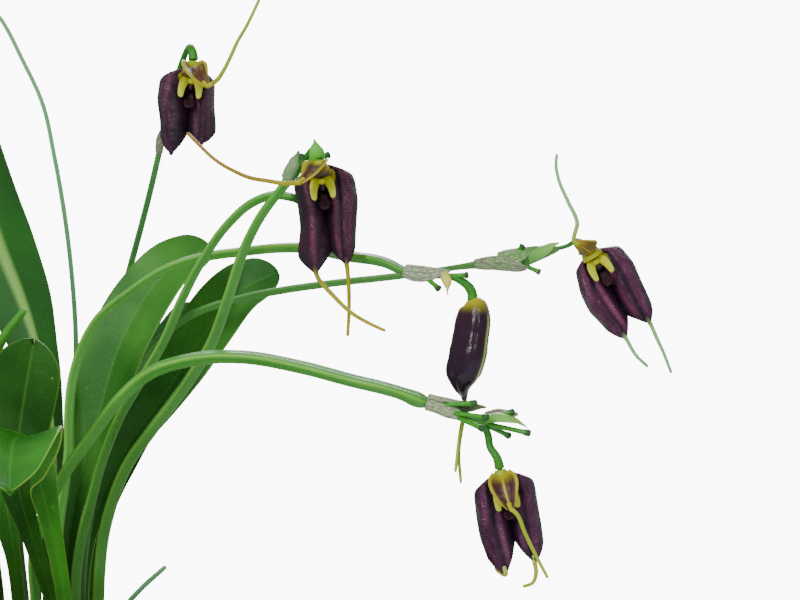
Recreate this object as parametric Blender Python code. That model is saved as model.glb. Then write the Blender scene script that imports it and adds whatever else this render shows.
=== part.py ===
"""Masdevallia orchid in a plain tapered terracotta pot.

The frame has +Z up and +Y away from the plant's front, and its origin is at the centre of the pot's underside.
All sizes and places below are in millimetres, and MM turns them into metres where a mesh is made.
A route lists the places that a stalk or a blade passes through, each with its half width there.
"""

import math
from dataclasses import dataclass

import bmesh
import bpy
import numpy as np
from mathutils import Matrix

# Units, clearances and least thickness
MM = 0.001
TOUCH_GAP = 0.3
BLADE_EDGE = 0.65
SHARP_ANGLE = math.radians(42)

# Pot
POT_HEIGHT = 75.0
POT_RIM_RADIUS = 45.0
POT_BASE_RADIUS = 33.0
POT_WALL = 3.4
POT_FLOOR = 5.0
RIM_BAND_HEIGHT = 15.0
RIM_BAND_PROUD = 2.2
POT_EDGE = 0.8
POT_SIDES = 32
DRAIN_HOLES = 3
DRAIN_RADIUS = 3.5
DRAIN_RING_RADIUS = 17.0
DRAIN_SIDES = 10

# Potting mix
MIX_LEVEL = 68.0
MIX_MOUND = 3.0
MIX_LUMP = 0.9
MIX_RINGS = 5
MIX_SIDES = 24
ROOT_DEPTH = 60.0
ROOT_STRAIGHT_TO = 67.0
HOLE_SIDES = 8
LEAF_FOOT_SPREAD = 0.6

# Leaves
LEAF_COLUMNS = np.array([-1.0, -0.55, 0.0, 0.55, 1.0])
LEAF_RINGS = 15
STALK_THICKNESS = 1.9
MIDRIB_THICKNESS = 1.35
STALK_WIDTH = 3.0
BLADE_WIDTH = 9.0
TIP_NOTCH = 1.1

# Flower stems
STEM_ANGLES = 6
STEM_FLUTE = 0.66
RING_STEP = 7.0
STUB_RADIUS = 0.42

# Blooms
NECK_TOP_RADIUS = 1.15
NECK_RADIUS = 1.9
NECK_LENGTH = 2.2
SEPAL_THICKNESS = 0.7
LOBE_TOP = 0.5
LOBE_TOP_RADIUS = 0.5
LOBE_TOP_SHARE = 0.3
LOBE_OPENING = 2.6
LOBE_TIP = 0.55
LOBE_COLUMNS = (0.0, 0.14, 0.28, 0.42, LOBE_TIP, 0.77, 1.0)
LOBE_STATIONS = (0.0, 1.0, 3.2, 6.4, 9.6, 13.6)
LOBE_ROWS = (0.0, 0.07, 0.14, 0.25, 0.4, 0.55, 0.7, 0.85, 1.0)
TAIL_RADIUS = 0.42
TAIL_TIP_RADIUS = 0.31
TAIL_SIDES = 5
TAIL_STEP = 3.0
NECK_SIDES = 10
NECK_PHASE = 0.13
HOOD_COLUMNS = 5
HOOD_RINGS = 5
PETAL_THICKNESS = 0.62
LIP_DROP = 2.7

# Buds
BUD_SIDES = 12
BUD_RINGS = 10

# Finishes: colour, roughness, metallic
FINISHES = {
    "terracotta": ((0.46, 0.18, 0.09), 0.85, 0.0),
    "potting_mix": ((0.09, 0.05, 0.03), 0.95, 0.0),
    "leaf_green": ((0.06, 0.22, 0.03), 0.35, 0.0),
    "stem_green": ((0.14, 0.36, 0.06), 0.4, 0.0),
    "bract_paper": ((0.42, 0.44, 0.3), 0.8, 0.0),
    "sepal_purple": ((0.09, 0.015, 0.05), 0.35, 0.0),
    "petal_yellow": ((0.6, 0.65, 0.12), 0.4, 0.0),
    "lip_dark": ((0.04, 0.008, 0.02), 0.5, 0.0),
}


def unit(vectors):
    """Vectors along the last axis, each made one long."""
    return vectors / np.maximum(np.linalg.norm(vectors, axis=-1, keepdims=True), 1e-9)


def finish(slot):
    """The Principled material of one slot."""
    material = bpy.data.materials.get(slot)
    if material is None:
        colour, roughness, metallic = FINISHES[slot]
        material = bpy.data.materials.new(slot)
        material.use_nodes = True
        shader = material.node_tree.nodes["Principled BSDF"]
        shader.inputs["Base Color"].default_value = (*colour, 1.0)
        shader.inputs["Roughness"].default_value = roughness
        shader.inputs["Metallic"].default_value = metallic
        material.diffuse_color = (*colour, 1.0)
    return material


def solid(name, points, faces, slot):
    """An object from points in millimetres and faces that point out."""
    mesh = bpy.data.meshes.new(name)
    mesh.from_pydata(np.asarray(points) * MM, [], faces)
    mesh.materials.append(finish(slot))
    mesh.shade_smooth()
    mesh.set_sharp_from_angle(angle=SHARP_ANGLE)
    result = bpy.data.objects.new(name, mesh)
    bpy.context.scene.collection.objects.link(result)
    return result


def with_modifier_applied(target, modifier):
    """Puts the modifier's result into the object's mesh."""
    graph = bpy.context.evaluated_depsgraph_get()
    mesh = bpy.data.meshes.new_from_object(target.evaluated_get(graph))
    target.modifiers.remove(modifier)
    old = target.data
    target.data = mesh
    bpy.data.meshes.remove(old)
    target.data.shade_smooth()
    target.data.set_sharp_from_angle(angle=SHARP_ANGLE)


def keep_largest_body(target):
    """Removes the closed specks that a union leaves where two skins lie nearly on each other."""
    shape = bmesh.new()
    shape.from_mesh(target.data)
    left = set(shape.verts)
    bodies = []
    while left:
        body = {left.pop()}
        edge = list(body)
        while edge:
            corner = edge.pop()
            for link in corner.link_edges:
                other = link.other_vert(corner)
                if other in left:
                    left.remove(other)
                    body.add(other)
                    edge.append(other)
        bodies.append(body)
    largest = max(bodies, key=len)
    specks = [corner for corner in shape.verts if corner not in largest]
    bmesh.ops.delete(shape, geom=specks, context="VERTS")
    shape.to_mesh(target.data)
    shape.free()


def combine(target, others, operation):
    """Joins the others to the target, or cuts them out of it, and removes them."""
    helpers = bpy.data.collections.new(target.name + "_helpers")
    bpy.context.scene.collection.children.link(helpers)
    for other in others:
        bpy.context.scene.collection.objects.unlink(other)
        helpers.objects.link(other)
        other.hide_render = True
        other.display_type = "WIRE"
    modifier = target.modifiers.new(operation.lower(), "BOOLEAN")
    modifier.operation = operation
    modifier.operand_type = "COLLECTION"
    modifier.collection = helpers
    modifier.solver = "EXACT"
    with_modifier_applied(target, modifier)
    keep_largest_body(target)
    for other in list(helpers.objects):
        bpy.data.objects.remove(other)
    bpy.data.collections.remove(helpers)
    return target


def smooth_route(rows, shares):
    """Rows of a smooth curve through the given rows, at the given shares of its length."""
    rows = np.array(rows, float)
    chord = np.linalg.norm(np.diff(rows[:, :3], axis=0), axis=1)
    knots = np.concatenate([[0.0], np.cumsum(chord)])
    slopes = np.gradient(rows, knots, axis=0)
    dense = np.linspace(0.0, knots[-1], 24 * len(rows))
    span = np.clip(np.searchsorted(knots, dense, "right") - 1, 0, len(chord) - 1)
    width = chord[span][:, None]
    t = (dense[:, None] - knots[span][:, None]) / width
    curve = (
        (2 * t**3 - 3 * t**2 + 1) * rows[span]
        + (t**3 - 2 * t**2 + t) * width * slopes[span]
        + (3 * t**2 - 2 * t**3) * rows[span + 1]
        + (t**3 - t**2) * width * slopes[span + 1]
    )
    steps = np.linalg.norm(np.diff(curve[:, :3], axis=0), axis=1)
    reached = np.concatenate([[0.0], np.cumsum(steps)])
    wanted = np.asarray(shares) * reached[-1]
    return np.stack([np.interp(wanted, reached, column) for column in curve.T], axis=1)


def rooted(route):
    """The route, continued straight down into its hole in the mix."""
    x, y, _, width = route[0]
    return [(x, y, ROOT_DEPTH, width), (x, y, ROOT_STRAIGHT_TO, width)] + route


def even_shares(rows, step):
    """Even shares of a route's length, about one step apart."""
    places = np.array(rows, float)[:, :3]
    length = np.linalg.norm(np.diff(places, axis=0), axis=1).sum()
    return np.linspace(0.0, 1.0, max(3, round(length / step) + 1))


def carried_sides(places, first_side):
    """Tangents of a route, and the sides that a first side becomes when it is carried along without twist."""
    tangents = unit(np.gradient(places, axis=0))
    sides = []
    side = np.array(first_side, float)
    for tangent in tangents:
        side = side - tangent * side.dot(tangent)
        side = side / np.linalg.norm(side)
        sides.append(side)
    return tangents, np.array(sides)


def tube_faces(rings, around):
    """Faces of a closed tube of rings, with both ends capped."""
    faces = []
    for ring in range(rings - 1):
        for j in range(around):
            here = ring * around
            following = (j + 1) % around
            faces.append((here + j, here + following, here + around + following, here + around + j))
    faces.append(tuple(reversed(range(around))))
    faces.append(tuple(range((rings - 1) * around, rings * around)))
    return faces


def stalk(name, rows, slot, step=RING_STEP, around=STEM_ANGLES, flute=1.0, first_side=(1, 0, 0)):
    """A stalk along a route of places and radii. A flute under 1 pulls in every second point of its section."""
    path = smooth_route(rows, even_shares(rows, step))
    tangents, sides = carried_sides(path[:, :3], first_side)
    ups = np.cross(tangents, sides)
    turn = np.arange(around) * 2 * math.pi / around
    pull = np.where(np.arange(around) % 2 == 0, 1.0, flute)
    across = (np.cos(turn) * pull)[None, :, None] * path[:, 3][:, None, None] * sides[:, None, :]
    upward = (np.sin(turn) * pull)[None, :, None] * path[:, 3][:, None, None] * ups[:, None, :]
    points = path[:, None, :3] + across + upward
    return solid(name, points.reshape(-1, 3), tube_faces(len(path), around), slot)


def sheet_solid(name, outer, inner, slot):
    """A thin closed body between two grids of points of one shape, split into triangles alike on both faces.

    The cells' diagonals run in mirrored ways on the two halves.
    """
    rows, columns = outer.shape[:2]
    points = np.concatenate([outer.reshape(-1, 3), inner.reshape(-1, 3)])
    shift = rows * columns
    index = np.arange(shift).reshape(rows, columns)
    faces = []
    for i in range(rows - 1):
        for j in range(columns - 1):
            a, b = int(index[i, j]), int(index[i, j + 1])
            c, d = int(index[i + 1, j + 1]), int(index[i + 1, j])
            halves = [(a, b, c), (a, c, d)] if j < columns // 2 else [(a, b, d), (b, c, d)]
            faces += halves
            faces += [(first + shift, third + shift, second + shift) for first, second, third in halves]
    rim = [*index[0], *index[1:, -1], *index[-1, -2::-1], *index[-2:0:-1, 0]]
    rim = [int(corner) for corner in rim]
    for a, b in zip(rim, rim[1:] + rim[:1]):
        faces += [(b, a, a + shift), (b, a + shift, b + shift)]
    corners = points[np.array(faces)]
    if np.linalg.det(corners).sum() < 0:
        faces = [face[::-1] for face in faces]
    return solid(name, points, faces, slot)


def thick_sheet(name, middle, thickness, slot):
    """A body of the given thickness about a grid of points."""
    across = np.gradient(middle, axis=1)
    along = np.gradient(middle, axis=0)
    normal = unit(np.cross(across, along))
    return sheet_solid(name, middle + normal * thickness / 2, middle - normal * thickness / 2, slot)


# Pot and mix


def pot_profile():
    """The pot's section from the axis out along the base, up the wall, over the rim and down inside."""
    band_low = POT_HEIGHT - RIM_BAND_HEIGHT
    slope = (POT_RIM_RADIUS - RIM_BAND_PROUD - POT_BASE_RADIUS) / band_low
    body_top = POT_BASE_RADIUS + slope * band_low
    inner_top = POT_RIM_RADIUS - RIM_BAND_PROUD - POT_WALL
    inner_base = POT_BASE_RADIUS - POT_WALL + slope * POT_FLOOR
    return [
        (0.0, 0.0),
        (POT_BASE_RADIUS - POT_EDGE, 0.0),
        (POT_BASE_RADIUS, POT_EDGE),
        (body_top, band_low),
        (body_top + RIM_BAND_PROUD - POT_EDGE, band_low),
        (POT_RIM_RADIUS - POT_EDGE / 2, band_low + POT_EDGE),
        (POT_RIM_RADIUS, POT_HEIGHT - POT_EDGE),
        (POT_RIM_RADIUS - POT_EDGE, POT_HEIGHT),
        (inner_top + POT_EDGE, POT_HEIGHT),
        (inner_top, POT_HEIGHT - POT_EDGE),
        (inner_top - slope * RIM_BAND_HEIGHT, band_low),
        (inner_base, POT_FLOOR),
        (0.0, POT_FLOOR),
    ]


def inner_radius(height):
    """The pot's inner radius at a height."""
    radii = [point[0] for point in pot_profile()[-2:-5:-1]]
    heights = [point[1] for point in pot_profile()[-2:-5:-1]]
    return float(np.interp(height, heights, radii))


def turned(name, profile, sides, slot):
    """A body turned about the Z axis from a profile that starts and ends on it."""
    outline = bmesh.new()
    corners = [outline.verts.new((radius * MM, 0.0, height * MM)) for radius, height in profile]
    for a, b in zip(corners, corners[1:]):
        outline.edges.new((a, b))
    turned_parts = outline.verts[:] + outline.edges[:]
    bmesh.ops.spin(outline, geom=turned_parts, cent=(0, 0, 0), axis=(0, 0, 1), angle=2 * math.pi, steps=sides)
    bmesh.ops.remove_doubles(outline, verts=outline.verts, dist=0.00001)
    bmesh.ops.recalc_face_normals(outline, faces=outline.faces)
    mesh = bpy.data.meshes.new(name)
    outline.to_mesh(mesh)
    outline.free()
    mesh.materials.append(finish(slot))
    mesh.shade_smooth()
    mesh.set_sharp_from_angle(angle=SHARP_ANGLE)
    result = bpy.data.objects.new(name, mesh)
    bpy.context.scene.collection.objects.link(result)
    return result


def upright_cutter(name, x, y, low, high, radius, sides):
    """A round upright cutter."""
    rows = [(x, y, low, radius), (x, y, high, radius)]
    path = np.array(rows)
    turn = np.arange(sides) * 2 * math.pi / sides
    ring = np.stack([np.cos(turn), np.sin(turn), np.zeros(sides)], axis=1)
    points = path[:, None, :3] + ring[None] * radius
    return solid(name, points.reshape(-1, 3), tube_faces(2, sides), "potting_mix")


def build_pot():
    """The pot with its drain holes, which stand clear of the centre."""
    pot = turned("pot", pot_profile(), POT_SIDES, "terracotta")
    cutters = []
    for number in range(DRAIN_HOLES):
        turn = (number + 0.5) * 2 * math.pi / DRAIN_HOLES
        x = DRAIN_RING_RADIUS * math.cos(turn)
        y = DRAIN_RING_RADIUS * math.sin(turn)
        cutters.append(upright_cutter(f"drain_{number}", x, y, -2.0, POT_FLOOR + 2.0, DRAIN_RADIUS, DRAIN_SIDES))
    combine(pot, cutters, "DIFFERENCE")


def build_mix(roots):
    """The mounded, lumpy mix that fills the pot, with a plain hole for each root place (x, y, radius)."""
    draw = np.random.default_rng(7)
    floor = POT_FLOOR + TOUCH_GAP
    profile = [(0.0, floor), (inner_radius(floor) - TOUCH_GAP, floor)]
    band_low = POT_HEIGHT - RIM_BAND_HEIGHT
    profile.append((inner_radius(band_low) - TOUCH_GAP, band_low))
    edge = inner_radius(MIX_LEVEL) - TOUCH_GAP
    for ring in range(MIX_RINGS, -1, -1):
        radius = edge * ring / MIX_RINGS
        profile.append((radius, MIX_LEVEL + MIX_MOUND * (1 - (radius / edge) ** 2)))
    mix = turned("potting_mix", profile, MIX_SIDES, "potting_mix")
    for corner in mix.data.vertices:
        radius = math.hypot(corner.co.x, corner.co.y) / MM
        if corner.co.z > (MIX_LEVEL - 1.0) * MM and radius < edge - 1.0:
            corner.co.z += draw.uniform(-MIX_LUMP, MIX_LUMP) * MM
    cutters = []
    for number, (x, y, radius) in enumerate(roots):
        wide = (radius + TOUCH_GAP) / math.cos(math.pi / HOLE_SIDES)
        low = ROOT_DEPTH - TOUCH_GAP
        cutters.append(upright_cutter(f"hole_{number}", x, y, low, POT_HEIGHT + 10.0, wide, HOLE_SIDES))
    combine(mix, cutters, "DIFFERENCE")


# Leaves: each route starts at the root, with the blade's half width at each place. Then come the ways that
# the upper side faces at the root and at the tip, and the channel's depth as a share of the half width


@dataclass
class Leaf:
    """One leaf with its stalk, from its root in the mix to its tip."""

    name: str
    route: list
    faces_root: tuple
    faces_tip: tuple
    channel: float = 0.22


LEAVES = [
    Leaf(
        "leaf_tall_left",
        [(1.2, 2.2, 72, 1.2), (2.4, 2.9, 80.7, 1.2), (2.3, 3, 87.4, 1.3), (2.5, 3, 95.8, 1.7),
         (3.0, 3, 102.5, 2.0), (2.4, 4, 109.2, 2.5), (0.9, 6, 117.5, 3.4), (-1.2, 8.5, 124.2, 4.4),
         (-3.9, 11, 131.3, 5.9), (-7.5, 13, 139.6, 7.0), (-11.0, 14, 149.9, 6.8), (-13.4, 14, 160.2, 5.8),
         (-14.3, 13, 168.7, 4.4)],
        (-0.2, 1, 0), (-0.7, 1, 0.2), 0.15,
    ),
    Leaf(
        "leaf_notched",
        [(5.4, -9.2, 72, 1.2), (4.3, -10, 82, 1.2), (3.0, -12, 87.1, 1.3), (1.3, -15, 93.9, 1.6),
         (0.0, -18.5, 100.6, 2.6), (0.4, -22, 108.8, 4.6), (1.9, -25, 116.8, 5.4), (3.1, -27, 122.4, 5.3),
         (3.6, -28, 125.0, 4.9)],
        (-0.1, -1, 0.2), (0, -1, 0.35), 0.2,
    ),
    Leaf(
        "leaf_front_arched",
        [(7.6, -14.8, 72, 1.2), (6.9, -15.3, 82.5, 1.2), (5.8, -18, 91, 1.4), (4.4, -22, 99, 2.0),
         (3.0, -27, 105.3, 3.6), (2.1, -33, 109.2, 6.4), (1.9, -39.5, 109.0, 7.2), (2.3, -46, 106.0, 5.5),
         (2.9, -51.5, 102.3, 2.9)],
        (0, -1, 0.3), (0, -0.6, 1), 0.3,
    ),
    Leaf(
        "leaf_big_centre",
        [(4.5, 6.5, 72, 1.2), (4.5, 7, 80.3, 1.3), (5.5, 8.5, 93.3, 1.9), (7.2, 10.5, 102.9, 3.6),
         (9.8, 12, 112.2, 4.8), (13.2, 13, 123.3, 5.9), (17.8, 14.5, 131.9, 5.7), (23.0, 16, 137.6, 4.9),
         (28.3, 18, 140.1, 3.6)],
        (-0.3, -1, 0.1), (-0.35, -0.9, 0.55), 0.2,
    ),
    Leaf(
        "leaf_right_back",
        [(7.2, 15, 72, 1.2), (6.8, 15.8, 79.4, 1.2), (7.4, 17.5, 88.7, 1.5), (9.5, 19.5, 96.3, 2.1),
         (13.5, 21, 104.9, 3.0), (20.0, 22.5, 114.4, 4.4), (26.9, 23, 124.9, 5.6), (33.0, 23.5, 132.4, 5.2),
         (39.8, 24, 135.9, 3.6)],
        (-0.4, -1, 0.2), (-0.3, -1, 0.5), 0.2,
    ),
    Leaf(
        "leaf_dark_back",
        [(6.9, 21.5, 72, 1.2), (6.9, 22.5, 78.7, 1.2), (7.7, 25, 88.0, 1.8), (9.2, 27, 95.8, 3.0),
         (11.9, 29, 104.5, 4.4), (15.8, 31, 113.3, 4.8), (20.4, 33, 122.1, 4.4), (25.2, 35, 130.1, 3.2)],
        (-0.3, -1, 0.1), (-0.2, -1, 0.4), 0.2,
    ),
    Leaf(
        "leaf_left_edge",
        [(-1.5, -3, 72, 1.2), (-1.6, -4, 81.5, 1.2), (-2.3, -6, 90, 1.5), (-4.0, -8, 100, 3.2),
         (-7.5, -9.5, 110, 5.4), (-12.5, -9, 120, 6.4), (-18.5, -7, 130, 6.2), (-25, -4, 138.5, 4.4)],
        (-0.4, -1, 0.1), (-0.3, -0.9, 0.6), 0.2,
    ),
    Leaf(
        "leaf_low_left",
        [(-13, 0, 72, 1.2), (-14.5, 0, 80, 1.3), (-18.5, -1, 91, 2.4), (-27, -3, 102.5, 5.2),
         (-39, -5, 109, 6.8), (-52, -6, 109, 6.2), (-62, -6, 105, 4.0)],
        (-1, 0, 0.3), (-0.1, 0, 1), 0.2,
    ),
    Leaf(
        "leaf_arched_left",
        [(-6, 3.5, 72, 1.2), (-7, 4.5, 84, 1.3), (-10, 6, 99, 2.6), (-17, 8, 115, 5.4),
         (-28, 10, 129, 7.2), (-43, 11.5, 138, 6.8), (-57, 12, 139.5, 4.6)],
        (-1, -0.3, 0.2), (-0.3, -0.3, 1), 0.2,
    ),
    Leaf(
        "leaf_front_low",
        [(-4, -12, 72, 1.2), (-5, -14, 80, 1.3), (-8, -20, 90.5, 2.4), (-14, -29, 99, 4.8),
         (-22, -40, 102, 6.2), (-30, -51, 98, 5.4), (-35, -59, 91.5, 3.4)],
        (0.3, -1, 0.4), (0.1, -0.2, 1), 0.22,
    ),
    Leaf(
        "leaf_front_left",
        [(-9, -6, 72, 1.2), (-10.5, -7.5, 82, 1.3), (-15, -12, 96, 2.8), (-23, -19, 110, 5.6),
         (-33, -26, 120, 6.8), (-44, -33, 124, 6.0), (-53, -38, 122.5, 4.0)],
        (-0.6, -0.8, 0.3), (-0.3, -0.2, 1), 0.2,
    ),
    Leaf(
        "leaf_upright_back",
        [(-10.5, 9, 72, 1.2), (-11.5, 11, 84, 1.3), (-14, 15, 101, 2.8), (-18, 20, 120, 5.6),
         (-21.5, 25, 139, 6.8), (-24, 29, 154, 5.8), (-25.5, 31, 163, 3.8)],
        (0.6, -1, 0.2), (0.4, -1, 0.4), 0.22,
    ),
    Leaf(
        "leaf_back_left",
        [(-3, 15, 72, 1.2), (-4.5, 17.5, 82, 1.3), (-9, 23, 96, 2.8), (-17, 31, 110, 5.6),
         (-28, 39, 119.5, 6.6), (-40, 47, 122, 5.8), (-49, 53, 119.5, 3.6)],
        (-0.3, 0.8, 0.4), (-0.1, 0.2, 1), 0.2,
    ),
    Leaf(
        "leaf_back_low",
        [(1.5, 30, 71.5, 1.2), (2, 31.5, 79, 1.3), (2.5, 36, 89, 2.4), (2.5, 44, 98.5, 4.8),
         (1.5, 54, 103, 5.8), (-0.5, 64, 101.5, 4.9), (-2, 71, 97, 3.0)],
        (0, 1, 0.4), (0, 0.2, 1), 0.22,
    ),
]


def leaf_shares():
    """Shares of a leaf's length for its rings, closer together towards the tip."""
    return 1 - (1 - np.linspace(0.0, 1.0, LEAF_RINGS)) ** 1.5


def build_leaf(leaf):
    """A thick channelled blade on a stalk. It thins to its edges and is notched at its blunt tip."""
    shares = leaf_shares()
    path = smooth_route(rooted(leaf.route), shares)
    places = path[:, :3]
    tangents = unit(np.gradient(places, axis=0))
    blend = shares[:, None]
    faces = unit(np.array(leaf.faces_root, float)) * (1 - blend) + unit(np.array(leaf.faces_tip, float)) * blend
    faces = unit(faces - tangents * (faces * tangents).sum(axis=1, keepdims=True))
    sides = np.cross(faces, tangents)
    length = np.linalg.norm(np.diff(places, axis=0), axis=1).sum()
    blunt = 1 - 1.1 * path[-1, 3] / length
    past = np.clip((shares - blunt) / (1 - blunt), 0.0, 1.0)
    half = path[:, 3] * np.sqrt(1 - 0.93 * past**2)
    u = LEAF_COLUMNS[None, :, None]
    grown = np.clip((path[:, 3] * 2 - STALK_WIDTH) / (BLADE_WIDTH - STALK_WIDTH), 0.0, 1.0)
    middle = STALK_THICKNESS + (MIDRIB_THICKNESS - STALK_THICKNESS) * grown
    thickness = BLADE_EDGE + (middle[:, None, None] - BLADE_EDGE) * (1 - np.abs(u)) ** 1.3
    depth = (0.55 + (leaf.channel - 0.55) * grown)[:, None, None]
    rise = depth * half[:, None, None] * np.abs(u) ** 1.5
    notch = TIP_NOTCH * past[:, None, None] ** 6 * (1 - np.abs(u)) ** 2
    top = places[:, None] + sides[:, None] * u * half[:, None, None]
    top = top + faces[:, None] * (rise + middle[:, None, None] / 2 - 0.3) - tangents[:, None] * notch
    bottom = top - faces[:, None] * thickness
    return sheet_solid(leaf.name, top, bottom, "leaf_green")


# Flower stems: routes with radii, the curved stalks of the blooms, and cut-off stubs as pairs of ends


@dataclass
class Stem:
    """One flower stem, with the bloom's stalk and the stubs that grew from it."""

    name: str
    route: list
    flower_stalk: list
    stubs: list
    flute: float = STEM_FLUTE


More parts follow.
